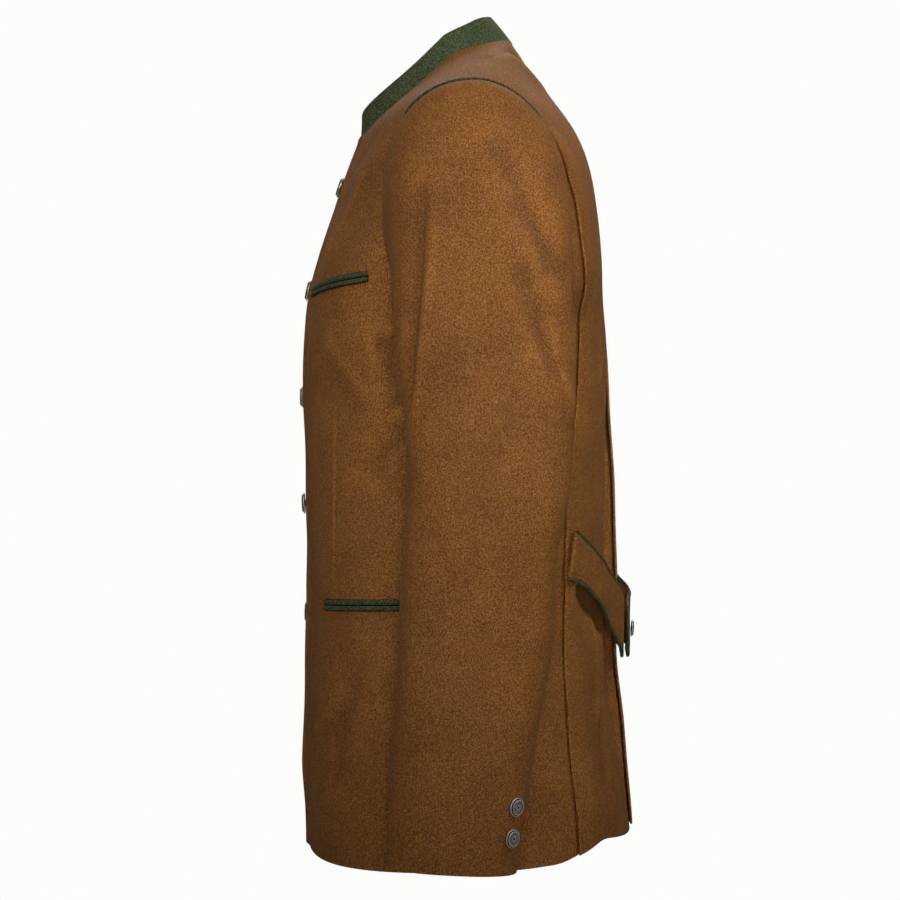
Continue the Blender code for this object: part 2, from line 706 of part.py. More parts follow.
def collar_grid(turns, shares):
    points = []
    for turn in turns:
        seam = collar_seam(abs(turn))
        inward, forward, upward = (
            float(smooth_read(COLLAR_COLUMNS, COLLAR, name, abs(turn))) for name in COLLAR_COLUMNS[1:]
        )
        rise = np.array([-inward, -forward, upward])
        end = np.linalg.norm(seam - collar_seam(NECK_START))
        gone = max(COLLAR_CORNER - end, 0.0)
        lost = (COLLAR_CORNER - math.sqrt(COLLAR_CORNER**2 - gone**2)) / np.linalg.norm(rise)
        column = [seam + rise * (COLLAR_FOOT + (1 - lost - COLLAR_FOOT) * share) for share in shares]
        points.append(np.array(column) * (MIRROR if turn < 0 else 1))
    return np.array(points).swapaxes(0, 1)


def collar(name, finish):
    half = np.concatenate([NECK_START + np.array([0.1, 1.2, 3.0, 5.5]), neck_turns()])
    turns = np.concatenate([half, -half[-2::-1]])
    shares = np.linspace(0, 1, 4)
    points = collar_grid(turns, shares)
    along = np.gradient(points, axis=1)
    normals = np.cross(along, np.gradient(points, axis=0))
    normals /= np.linalg.norm(normals, axis=2, keepdims=True)
    if normals[0, 5, 1] > 0:
        normals = -normals
    return wall(name, points, normals, DOUBLED, finish)


# ------------------------------------------------------------------ back belt
def belt_grid(side_name):
    """The middle surface's points and outward normals: rows across the width, columns along it."""
    xs = np.linspace(BELT[0][0], BELT[-1][0], 17)
    y, height, width = (smooth_read(BELT_COLUMNS, BELT, n, xs) for n in (side_name + "_y", "height", "width"))
    path = np.stack([xs, y, height], axis=1)
    along = np.gradient(path, axis=0)
    along /= np.linalg.norm(along, axis=1, keepdims=True)
    up = np.array([0.0, 0.0, 1.0]) - along * along[:, 2:]
    up /= np.linalg.norm(up, axis=1, keepdims=True)
    normals = np.cross(along, up)
    normals *= np.sign(normals[:, 1:2])
    width = width * np.where(np.arange(len(xs)) == len(xs) - 1, 0.62, 1.0)
    shares = np.array([-0.5, 0.0, 0.5])
    points = path[None] + up[None] * (shares[:, None] * width[None])[:, :, None]
    return points, np.repeat(normals[None], len(shares), axis=0), up


def belt_half(name, side_name, finish):
    points, normals, _ = belt_grid(side_name)
    return wall(name, points + normals * DOUBLED / 2, normals, DOUBLED, finish, side_name == "right")


def belt_piping(name, side_name, finish):
    """A cord round the belt's long edges and its end."""
    points, _, up = belt_grid(side_name)
    stand = PIPING_RADIUS + SEAM_GAP + 0.0001
    end = np.cross(up[-1], np.cross(points[0, -1] - points[0, -2], up[-1]))
    end /= np.linalg.norm(end)
    top = points[-1] + up * stand
    low = points[0] - up * stand
    top[-1] += end * stand
    low[-1] += end * stand
    return cord(name, np.concatenate([top, low[::-1]]), finish, side_name == "right")


# ------------------------------------------------------------------ buttons
def button(name, place, normal, scale, finish):
    """A turned button: its section swept round its axis."""
    mesh = bpy.data.meshes.new(name)
    section = [(radius * scale, 0.0, height * scale) for radius, height in BUTTON[::-1]]
    mesh.from_pydata(section, [(i, i + 1) for i in range(len(section) - 1)], [])
    mesh.materials.append(finish)
    made = bpy.data.objects.new(name, mesh)
    jacket.objects.link(made)
    sweep = made.modifiers.new("sweep", "SCREW")
    sweep.steps = sweep.render_steps = BUTTON_STEPS
    sweep.use_merge_vertices = True
    sweep.merge_threshold = 0.00005
    sweep.use_smooth_shade = True
    made.rotation_mode = "QUATERNION"
    made.rotation_quaternion = Vector(normal).to_track_quat("Z", "Y")
    made.location = place
    return made


def front_button_place(height):
    slope = float(profile("front", height + 0.004) - profile("front", height - 0.004)) / 0.008
    normal = np.array([0.0, -1.0, slope])
    normal /= np.linalg.norm(normal)
    return np.array([0.0, float(profile("front", height)), height]) + normal * (LAP + BUTTON_GAP), normal


def cuff_button_place(height):
    angles = np.array([CUFF_BUTTON_ANGLE - 2, CUFF_BUTTON_ANGLE, CUFF_BUTTON_ANGLE + 2])
    low, here, high = (sleeve_ring(height + step, angles) for step in (-0.004, 0.0, 0.004))
    normal = np.cross(high[1] - low[1], here[2] - here[0])
    normal /= np.linalg.norm(normal)
    normal *= np.sign(normal[0])
    return here[1] + normal * BUTTON_GAP, normal


# ------------------------------------------------------------------ build
for leftover in list(bpy.data.objects):
    bpy.data.objects.remove(leftover)
jacket = bpy.data.collections.new("tyrolean_loden_jacket")
bpy.context.scene.collection.children.link(jacket)

loden = material("brown_loden", (0.19, 0.085, 0.025), 0.95)
felt = material("green_loden", (0.045, 0.065, 0.025), 0.95)
silver = material("old_silver", (0.45, 0.43, 0.40), 0.35, 1.0)

front("front_left", True, False, loden)
front("front_right", False, True, loden)
back("back_left", "back", False, loden)
back("back_right", "right_back", True, loden)
side_piece("side_left", "back", False, loden)
side_piece("side_right", "right_back", True, loden)
centre_pleat("back_pleat", loden)
collar("collar", felt)
for label, mirror in (("left", False), ("right", True)):
    sleeve_piece(f"sleeve_upper_{label}", 0, UPPER_STEPS, loden, mirror)
    sleeve_piece(f"sleeve_under_{label}", UPPER_STEPS, len(RING_ANGLES) - 1, loden, mirror)
    armhole_piping(f"armhole_piping_{label}", felt, mirror)
    pocket_edge(f"hip_pocket_{label}_upper", HIP_POCKET, True, felt, mirror)
    pocket_edge(f"hip_pocket_{label}_lower", HIP_POCKET, False, felt, mirror)
    belt_half(f"belt_{label}", label, loden)
    belt_piping(f"belt_piping_{label}", label, felt)
pocket_edge("chest_pocket_upper", CHEST_POCKET, True, felt)
pocket_edge("chest_pocket_lower", CHEST_POCKET, False, felt)

for number, height in enumerate(FRONT_BUTTON_HEIGHTS, 1):
    button(f"front_button_{number}", *front_button_place(height), 1.0, silver)
for number, height in enumerate(CUFF_BUTTON_HEIGHTS, 1):
    place, normal = cuff_button_place(height)
    button(f"cuff_button_left_{number}", place, normal, CUFF_BUTTON_SCALE, silver)
    button(f"cuff_button_right_{number}", place * MIRROR, normal * MIRROR, CUFF_BUTTON_SCALE, silver)
button("belt_button", (BELT_BUTTON_X, 0.1742, -0.5110), (0.0, 1.0, -0.06), CUFF_BUTTON_SCALE, silver)
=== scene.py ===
# %% [markdown]
# # A Tyrolean loden jacket
# The jacket is filled out as if it were worn, with nothing inside it. Its pieces were cut and placed in
# the CAD model, and this lesson gives them their looks: fine cloth with folds, piping, buttons and thread.
# The first step loads that model as a fixed frame. Each fine piece then takes the place of a CAD node and
# lies in the same space, so nothing has to be fitted afterwards.

# %% Load the frame
import math

import bpy
import numpy as np
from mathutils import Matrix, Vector


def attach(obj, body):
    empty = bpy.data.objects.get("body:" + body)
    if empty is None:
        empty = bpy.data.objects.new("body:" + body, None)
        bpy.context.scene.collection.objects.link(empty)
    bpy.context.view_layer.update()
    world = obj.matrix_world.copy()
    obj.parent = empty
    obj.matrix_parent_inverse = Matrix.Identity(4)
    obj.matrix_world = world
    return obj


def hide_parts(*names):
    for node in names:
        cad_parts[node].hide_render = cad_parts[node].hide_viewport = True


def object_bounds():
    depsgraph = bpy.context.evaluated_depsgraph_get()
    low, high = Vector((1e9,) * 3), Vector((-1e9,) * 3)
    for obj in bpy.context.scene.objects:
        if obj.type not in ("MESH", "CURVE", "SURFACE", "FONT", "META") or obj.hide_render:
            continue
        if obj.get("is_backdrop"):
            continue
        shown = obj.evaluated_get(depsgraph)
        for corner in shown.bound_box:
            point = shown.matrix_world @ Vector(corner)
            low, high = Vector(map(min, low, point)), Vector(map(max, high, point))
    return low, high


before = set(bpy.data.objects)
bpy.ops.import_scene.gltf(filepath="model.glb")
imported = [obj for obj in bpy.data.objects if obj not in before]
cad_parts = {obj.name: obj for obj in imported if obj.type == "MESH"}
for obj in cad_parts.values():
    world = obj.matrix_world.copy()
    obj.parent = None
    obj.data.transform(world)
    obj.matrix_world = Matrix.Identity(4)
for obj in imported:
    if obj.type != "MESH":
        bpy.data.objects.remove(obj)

cad_box = [list(corner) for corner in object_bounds()]
print(len(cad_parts), "CAD nodes in the box", np.round(cad_box, 3).tolist())

# %% [markdown]
# ## The jacket's sizes
# A tailor drafts a jacket from a handful of lengths, and the same lengths drive the surfaces here. They are
# those of the CAD model, because each fine piece has to lie where its solid lies. The tables hold a row for
# each height, angle or turn, with a smooth curve read through them. A list of mesh points could hold the
# same shape, but nobody could read it or let it out by a centimetre.

# %% Sizes of the cut, in metres
CLOTH = 0.0024  # one layer of loden
DOUBLED = 0.0034  # two layers pressed together
SEAM_GAP = 0.0003  # left between the CAD's pieces, and here only round the armhole's cord
LAP = CLOTH + 0.0011  # how far an upper layer stands off a lower one
HEM = {"front": -0.7015, "side": -0.6995, "back": -0.6895}
ARMPIT_CENTRE = -0.235
UNDER_ARM = 0.47  # the trunk's height under the armpit
OVERLAP = 0.018  # how far each front goes past the centre line
CORNER_RADIUS, CORNER_FADE = 0.018, 0.080
NECK_HALF_WIDTH, NECK_MIDDLE = 0.0765, 0.0126
NECK_DEPTH = {"front": -0.0715, "back": 0.0660}
NECK_FRONT_SLOPE, NECK_BACK_RISE = 0.861, 0.020
NECK_SHARE = {"front": 0.52, "back": 0.68}  # of the levels over the armpit, where the neckline starts
COLLAR_GAP = 0.014  # from the centre line to each end of the collar
FRONT_TOP = -0.091  # over this height the front edge runs back to the collar's end
ARMHOLE_MIDDLE, ARMHOLE_HALF = (0.031, -0.145), (0.078, 0.100)
ARMHOLE_POWERS = (0.86, 0.88, 0.88, 1.06)
SHOULDER_ANGLE = 16.0  # where the shoulder seam meets the armhole
OTHER = {"front": "back", "back": "front", "right_back": "front"}
MIRROR = np.array([-1.0, 1.0, 1.0])

PROFILE = (
    ("height", "front", "back", "right_back"),
    (-0.720, -0.1160, 0.1755, 0.1780),
    (-0.650, -0.1175, 0.1665, 0.1730),
    (-0.600, -0.1170, 0.1570, 0.1685),
    (-0.545, -0.1155, 0.1505, 0.1635),
    (-0.485, -0.1140, 0.1478, 0.1622),
    (-0.424, -0.1150, 0.1485, 0.1608),
    (-0.360, -0.1175, 0.1503, 0.1590),
    (-0.300, -0.1190, 0.1510, 0.1560),
    (-0.250, -0.1180, 0.1500, 0.1510),
    (-0.213, -0.1140, 0.1475, 0.1475),
    (-0.176, -0.1045, 0.1460, 0.1460),
    (-0.140, -0.0940, 0.1435, 0.1435),
    (-0.104, -0.0825, 0.1370, 0.1370),
    (-0.079, -0.0725, 0.1285, 0.1285),
    (-0.057, -0.0600, 0.1180, 0.1180),
    (-0.035, -0.0480, 0.1040, 0.1040),
    (-0.013, -0.0380, 0.0870, 0.0870),
    (0.008, -0.0300, 0.0740, 0.0740),
    (0.020, -0.0260, 0.0660, 0.0660),
)
SIDE = (
    ("height", "half_width", "middle"),
    (-0.700, 0.2050, 0.027),
    (-0.600, 0.1990, 0.027),
    (-0.500, 0.1895, 0.027),
    (-0.400, 0.1840, 0.028),
    (-0.320, 0.1890, 0.030),
    (-0.245, 0.1970, 0.031),
)
HEM_WAVE = (
    ("depth", "rise"),
    (0.00, 0.0000),
    (0.10, 0.0060),
    (0.21, 0.0100),
    (0.36, 0.0040),
    (0.47, -0.0004),
    (0.60, -0.0010),
    (1.00, 0.0000),
)
YOKES = {
    "front": (
        ("share", "armhole", "turn", "square"),
        (0.00, 180.0, 90.0, 0.74),
        (0.15, 122.0, 78.0, 0.80),
        (0.35, 91.0, 62.0, 0.92),
        (0.52, 64.0, 48.0, 1.00),
        (0.76, 38.0, 34.0, 1.00),
        (1.00, 16.0, 24.0, 1.00),
    ),
    "back": (
        ("share", "armhole", "turn", "square"),
        (0.00, 180.0, 90.0, 0.87),
        (0.12, 238.0, 80.0, 0.90),
        (0.25, 268.0, 66.0, 0.95),
        (0.38, 294.0, 54.0, 1.00),
        (0.52, 316.0, 44.0, 1.00),
        (0.68, 334.0, 34.0, 1.00),
        (1.00, 376.0, 24.0, 1.00),
    ),
}
PLEAT = (
    ("level", "x"),
    (0.00, 0.1720),
    (0.20, 0.1650),
    (0.40, 0.1570),
    (0.60, 0.1500),
    (0.80, 0.1460),
    (0.90, 0.1445),
    (1.00, 0.1485),
    (1.06, 0.1590),
    (1.15, 0.1775),
    (1.25, 0.1905),
    (1.34, 0.2040),
)
ARMHOLE = (
    ("angle", "half_width"),
    (-45.0, 0.2090),
    (0.0, 0.2215),
    (45.0, 0.2040),
    (90.0, 0.1840),
    (135.0, 0.1880),
    (180.0, 0.1970),
    (225.0, 0.1985),
    (270.0, 0.1995),
    (315.0, 0.2090),
    (360.0, 0.2215),
    (405.0, 0.2040),
)
SLEEVE = (
    ("height", "middle_x", "middle_y", "half_y", "half_x"),
    (-0.688, 0.2525, 0.0115, 0.0535, 0.0360),
    (-0.625, 0.2520, 0.0170, 0.0555, 0.0380),
    (-0.552, 0.2515, 0.0255, 0.0585, 0.0410),
    (-0.503, 0.2510, 0.0310, 0.0615, 0.0430),
    (-0.422, 0.2505, 0.0360, 0.0630, 0.0450),
    (-0.373, 0.2500, 0.0415, 0.0660, 0.0465),
    (-0.333, 0.2490, 0.0425, 0.0675, 0.0470),
    (-0.275, 0.2465, 0.0385, 0.0725, 0.0480),
)
COLLAR = (
    ("turn", "inward", "forward", "upward"),
    (10.0, 0.0020, -0.0015, 0.0215),
    (30.0, 0.0060, 0.0070, 0.0190),
    (45.0, 0.0100, 0.0115, 0.0160),
    (70.0, 0.0130, 0.0112, 0.0135),
    (90.0, 0.0130, 0.0079, 0.0185),
    (120.0, 0.0110, 0.0094, 0.0225),
    (150.0, 0.0060, 0.0160, 0.0225),
    (180.0, 0.0000, 0.0190, 0.0215),
)
BELT = (
    ("x", "left_y", "right_y", "height", "width"),
    (0.1560, 0.1128, 0.1225, -0.4375, 0.0390),
    (0.1300, 0.1280, 0.1385, -0.4478, 0.0335),
    (0.1050, 0.1395, 0.1510, -0.4604, 0.0332),
    (0.0800, 0.1480, 0.1585, -0.4739, 0.0353),
    (0.0500, 0.1575, 0.1652, -0.4902, 0.0440),
    (0.0250, 0.1645, 0.1728, -0.5035, 0.0450),
    (0.0000, 0.1662, 0.1716, -0.5118, 0.0450),
    (-0.0150, 0.1668, 0.1706, -0.5165, 0.0430),
)


def read(table, name, at):
    """The named column at values of the first one: cubic pieces through the rows, with the slope at each
    row taken from its two neighbours."""
    rows = np.array(sorted(table[1:]))
    keys, values = rows[:, 0], rows[:, table[0].index(name)]
    slopes = np.gradient(values, keys)
    at = np.clip(np.asarray(at, float), keys[0], keys[-1])
    i = np.clip(np.searchsorted(keys, at, side="right") - 1, 0, len(keys) - 2)
    span = keys[i + 1] - keys[i]
    t = (at - keys[i]) / span
    held = values[i] * (1 + 2 * t) * (1 - t) ** 2 + values[i + 1] * t * t * (3 - 2 * t)
    return held + span * t * (1 - t) * (slopes[i] * (1 - t) - slopes[i + 1] * t)


def ease(value, low, high):
    """0 below low, 1 above high, and 3t² - 2t³ between them."""
    t = np.clip((np.asarray(value, float) - low) / (high - low), 0, 1)
    return t * t * (3 - 2 * t)


def places(*coordinates):
    """Points from separate x, y and z, of any shapes that go together."""
    return np.stack(np.broadcast_arrays(*coordinates), axis=-1).astype(float)


def unit(vectors):
    """Vectors of length 1 in the same directions: each is divided by its length."""
    return vectors / np.linalg.norm(vectors, axis=-1, keepdims=True)


print("the tables hold", len(PROFILE) - 1, "heights of the trunk and", len(SLEEVE) - 1, "of the sleeve")

# %% [markdown]
# ## The form under the cloth
# A worn jacket hangs from the shoulders and the neck, and its trunk closes round the chest. The CAD model
# gives the trunk as rows that run from the centre line, or the neckline, round to the side seam, or the
# armhole. Here the same rows are read very closely and kept in a table, with the level up the body on one
# axis and the share of the row on the other. Any piece is then a patch of that table: the fronts, the back,
# a pocket's edge or a buttonhole all lie on the same form, so that seams meet without any fitting.

# %% The armhole, the neckline and the rows of the trunk


def armhole_point(angle):
    """A superellipse: y and z go as |sin|^p and |cos|^p of the angle, and x is read from the table.
    0 degrees is the top of the left armhole, 90 its front, 180 the armpit and 270 its back."""
    turn = np.radians(angle)
    sine, cosine = np.sin(turn), np.cos(turn)
    power = np.take(ARMHOLE_POWERS, (np.mod(angle, 360.0) // 90).astype(int))
    y = ARMHOLE_MIDDLE[0] - ARMHOLE_HALF[0] * np.sign(sine) * np.abs(sine) ** power
    z = ARMHOLE_MIDDLE[1] + ARMHOLE_HALF[1] * np.sign(cosine) * np.abs(cosine) ** power
    return places(read(ARMHOLE, "half_width", angle), y, z)


def neckline_point(part, angle):
    """A quarter ellipse in a tilted plane: x goes as the sine and y as the cosine of the angle, which is
    0 degrees on the centre line and 90 at the shoulder seam. The height is the slope times the run."""
    turn = np.radians(angle)
    reach = NECK_DEPTH[part] - NECK_MIDDLE
    run = reach * np.cos(turn)
    rise = NECK_FRONT_SLOPE if part == "front" else NECK_BACK_RISE / reach
    return places(NECK_HALF_WIDTH * np.sin(turn), NECK_MIDDLE + run, run * rise)


NEARLY = 1e-6  # levels closer than this are the same
NECK_START = math.degrees(math.asin(COLLAR_GAP / NECK_HALF_WIDTH))
CENTRE_TOP = {"front": float(neckline_point("front", NECK_START)[2]), "back": NECK_BACK_RISE}


def yoke_start(part, share):
    """Where rows above the armpit start: up the centre line, and then along the neckline."""
    turning = NECK_SHARE[part]
    height = ARMPIT_CENTRE + (CENTRE_TOP[part] - ARMPIT_CENTRE) * np.minimum(share / turning, 1)
    first = {"front": NECK_START, "back": 0.0}[part]
    beyond = np.maximum(share - turning, 0) / (1 - turning)
    on_centre = places(0.0, read(PROFILE, part, height), height)
    on_neckline = neckline_point(part, first + (90 - first) * beyond)
    return np.where((share < turning - NEARLY)[:, None], on_centre, on_neckline)


def trunk_rows(part, levels, source, steps=601):
    """Rows of the left half from a start S to an end E, as S + (E - S) * (across, around, rise).
    With t from 0 to 1 along a row of turn a and squareness q, across is (sin(a t) / sin(a))^q, around is
    1 - (1 - (1 - cos(a t)) / (1 - cos(a)))^q, and rise goes from around to across above the armpit.
    The back's hem waves, and its rows do so less and less up to the armpit."""
    under, share = np.minimum(levels, 1.0), np.maximum(levels - 1, 0.0)
    below = (levels <= 1)[:, None]
    middle = HEM[part] + (ARMPIT_CENTRE - HEM[part]) * under
    outside = HEM["side"] + (armhole_point(180.0)[2] - HEM["side"]) * under
    centre = places(0.0, read(PROFILE, source, middle), middle)
    seam = places(read(SIDE, "half_width", outside), read(SIDE, "middle", outside), outside)
    start = np.where(below, centre, yoke_start(part, share))
    end = np.where(below, seam, armhole_point(read(YOKES[part], "armhole", share)))
    turn = np.radians(read(YOKES[part], "turn", share))[:, None]
    square = read(YOKES[part], "square", share)[:, None]
    t = 0.5 - 0.5 * np.cos(np.linspace(0, math.pi, steps))
    across = (np.sin(turn * t) / np.sin(turn)) ** square
    around = 1 - np.clip(1 - (1 - np.cos(turn * t)) / (1 - np.cos(turn)), 0, 1) ** square
    rise = around * (1 - share[:, None]) + across * share[:, None]
    rows = start[:, None] + (end - start)[:, None] * places(across, around, rise)
    if part == "back":
        rows[..., 2] += read(HEM_WAVE, "rise", around) * np.maximum(1 - levels, 0)[:, None]
    return rows


LEVELS = np.concatenate([np.linspace(0, 1, 161)[:-1], np.linspace(1, 2, 361)])
SHARES = 400  # steps along a row
EVEN_SHARES = np.linspace(0, 1, SHARES + 1)


def lengths_of(rows):
    """How far along its row each point is: the running sum of the steps between them, from 0."""
    steps = np.linalg.norm(np.diff(rows, axis=-2), axis=-1)
    return np.concatenate([np.zeros((*steps.shape[:-1], 1)), np.cumsum(steps, axis=-1)], axis=-1)


def resampled(at, known, values):
    """Each column of values, known at some lengths along a path, read at others."""
    return np.stack([np.interp(at, known, values[:, k]) for k in range(3)], axis=-1)


NEAR_TURN, BLUR = 0.045, 0.013  # how far the smoothing of a turn reaches, and its spread
WHOLE = 0.4  # the share of that reach over which it is whole
ROW_ENDS = 0.10, 0.12  # the shares over which it fades at a row's start and end


def even_rows(part, source):
    """The rows' points at even shares of their lengths, and their whole lengths. The rows turn where they
    meet the armpit and where they leave the centre line for the neckline, and that would crease the cloth.
    So each place near there is averaged over its neighbours up and down with weights exp(-(d / b)²). The
    starts and ends of the rows stay on the neckline and the armhole."""
    rows = trunk_rows(part, LEVELS, source)
    known = lengths_of(rows)
    table = np.array([resampled(EVEN_SHARES * k[-1], k, row) for row, k in zip(rows, known)])
    climbed = lengths_of(table.swapaxes(0, 1)).mean(axis=0)
    inside = ease(EVEN_SHARES, 0.0, ROW_ENDS[0]) * ease(1 - EVEN_SHARES, 0.0, ROW_ENDS[1])
    for turn in (1.0, 1 + NECK_SHARE[part]):
        away = np.abs(climbed - np.interp(turn, LEVELS, climbed))
        weights = np.exp(-(((climbed[:, None] - climbed) / BLUR) ** 2)) * np.gradient(climbed)
        mean = np.tensordot(weights / weights.sum(axis=1, keepdims=True), table, 1)
        part_of = ((1 - ease(away, WHOLE * NEAR_TURN, NEAR_TURN))[:, None] * inside)[..., None]
        table = table * (1 - part_of) + mean * part_of
    return table, lengths_of(table)[:, -1]


FORM = {name: even_rows(name.removeprefix("right_"), name) for name in ("front", "back", "right_back")}
print("the form is read at", len(LEVELS), "levels and", SHARES + 1, "places along each")

# %% [markdown]
# ## Reading a place and a direction from the form
# A piece needs two things of the form: where it is, and which way is out. Both are read between the
# table's entries. Out is the cross product of two short steps on the form, one along the row and one up,
# and the steps go over the seams. So the last points of a front and the first ones of a side piece share
# their direction, and two walls that meet there neither gape nor cross.

# %% Points and normals anywhere on the form
ALONG, UP = 0.004, 0.02  # the short steps, in metres along a row and in levels


def total(name, level):
    """The whole length of the row at a level."""
    return np.interp(level, LEVELS, FORM[name][1])


def at_share(name, level, share):
    """The table read in straight lines between its four nearest entries. A share below 0 is mirrored."""
    table = FORM[name][0]
    up = np.interp(level, LEVELS, np.arange(len(LEVELS)))
    along = np.clip(np.abs(share), 0, 1) * SHARES
    i = np.minimum(up.astype(int), len(LEVELS) - 2)
    j = np.minimum(along.astype(int), SHARES - 1)
    u, v = (up - i)[..., None], (along - j)[..., None]
    low = table[i, j] * (1 - v) + table[i, j + 1] * v
    high = table[i + 1, j] * (1 - v) + table[i + 1, j + 1] * v
    found = low * (1 - u) + high * u
    found[..., 0] *= np.where(share < 0, -1, 1)
    return found


def at_length(name, level, length):
    """As at_share, by length. Under the armpit it goes on past the side seam, round the other part."""
    whole = total(name, level)
    found = at_share(name, level, length / whole)
    past = (length > whole) & (level <= 1)
    rest = total(OTHER[name], level)
    beyond = at_share(OTHER[name], level, np.maximum(whole + rest - length, 0) / rest)
    return np.where(past[..., None], beyond, found)


def on_form(name, level, length):
    """Points and outward unit normals of the left half's form."""
    level, length = np.broadcast_arrays(np.asarray(level, float), np.asarray(length, float))
    share = length / total(name, level)
    across = at_length(name, level, length + ALONG) - at_length(name, level, length - ALONG)
    low, high = np.maximum(level - UP, 0), level + UP
    over = at_share(name, np.minimum(high, 2), share)
    beyond = at_share(OTHER[name], np.clip(4 - high, 1, 2), share)
    up = np.where((high > 2)[..., None], beyond, over) - at_share(name, low, share)
    normal = unit(np.cross(across, up))
    return at_length(name, level, length), normal if name == "front" else -normal


def length_at_x(name, level, x):
    """How far along its row the form reaches this x, for arrays of levels and x."""
    rows = at_share(name, level[:, None], EVEN_SHARES[None])
    share = np.array([np.interp(at, row[:, 0], EVEN_SHARES) for at, row in zip(x, rows)])
    return share * total(name, level)


print("round the chest, under the arms:", round(200 * (total("front", 1.0) + total("back", 1.0))), "cm")

# %% [markdown]
# ## The sleeve's form
# A sleeve is cut in two, an upper and an under sleeve, and its head is eased into the armhole, from where
# it turns down to hang. Each point of the head goes out from its place on the armhole as a sine and down as
# a cosine, a quarter turn that ends on the first level ring. Below, the rings are superellipses whose
# middle and half widths are read from the table.

# %% Rings of the sleeve
SLEEVE_TOP, SLEEVE_END = -0.275, -0.688
SLEEVE_SQUARE = 0.86
CUFF_TILT, TILT_START, TILT_END = -0.055, 0.50, 0.685  # the slope, and the depths over which it comes in
ARMPIT_DROP = 0.0008  # how far out the sleeve goes under the arm
OFF_ARMHOLE = -0.0006  # the sleeve head starts inside the armhole, as it is sewn in


def sleeve_ring(height, angle):
    """x and y go as |cos|^q and |sin|^q of the angle round the table's middle; the cuff's rings tilt."""
    turn = np.radians(angle)
    sine, cosine = np.sin(turn), np.cos(turn)
    middle_x, middle_y, half_y, half_x = (read(SLEEVE, name, height) for name in SLEEVE[0][1:])
    depth = -half_y * np.sign(sine) * np.abs(sine) ** SLEEVE_SQUARE
    x = middle_x + half_x * np.sign(cosine) * np.abs(cosine) ** SLEEVE_SQUARE
    return places(x, middle_y + depth, height + CUFF_TILT * ease(-height, TILT_START, TILT_END) * depth)


def sleeve_point(angle, down):
    """The left sleeve: down is 0 on the armhole, 1 on the first level ring and 2 at the cuff."""
    angle, down = np.broadcast_arrays(np.asarray(angle, float), np.asarray(down, float))
    start = armhole_point(np.mod(angle, 360.0))
    start[..., 0] += OFF_ARMHOLE + ARMPIT_DROP * np.clip(-np.cos(np.radians(angle)), 0, 1)
    end = sleeve_ring(np.full(angle.shape, SLEEVE_TOP), angle)
    quarter = np.minimum(down, 1) * math.pi / 2
    out, drop = np.sin(quarter), 1 - np.cos(quarter)
    head = start + (end - start) * places(out, 0.5 * (out + drop), drop)
    arm = sleeve_ring(SLEEVE_TOP + (SLEEVE_END - SLEEVE_TOP) * np.maximum(down - 1, 0), angle)
    return np.where((down < 1)[..., None], head, arm)


AROUND, DOWN = 2.0, 0.02  # short steps, in degrees round the sleeve and down it


def on_sleeve(angle, down):
    """Points and outward normals of the sleeve, from short steps round it and down it."""
    around = sleeve_point(angle + AROUND, down) - sleeve_point(angle - AROUND, down)
    low, high = np.clip(down - DOWN, 0, 2), np.clip(down + DOWN, 0, 2)
    along = sleeve_point(angle, high) - sleeve_point(angle, low)
    return sleeve_point(angle, down), unit(np.cross(around, along))


ring = sleeve_ring(np.full(361, SLEEVE_TOP), np.arange(361.0))
print("round the upper arm:", round(float(lengths_of(ring)[-1]) * 100), "cm")
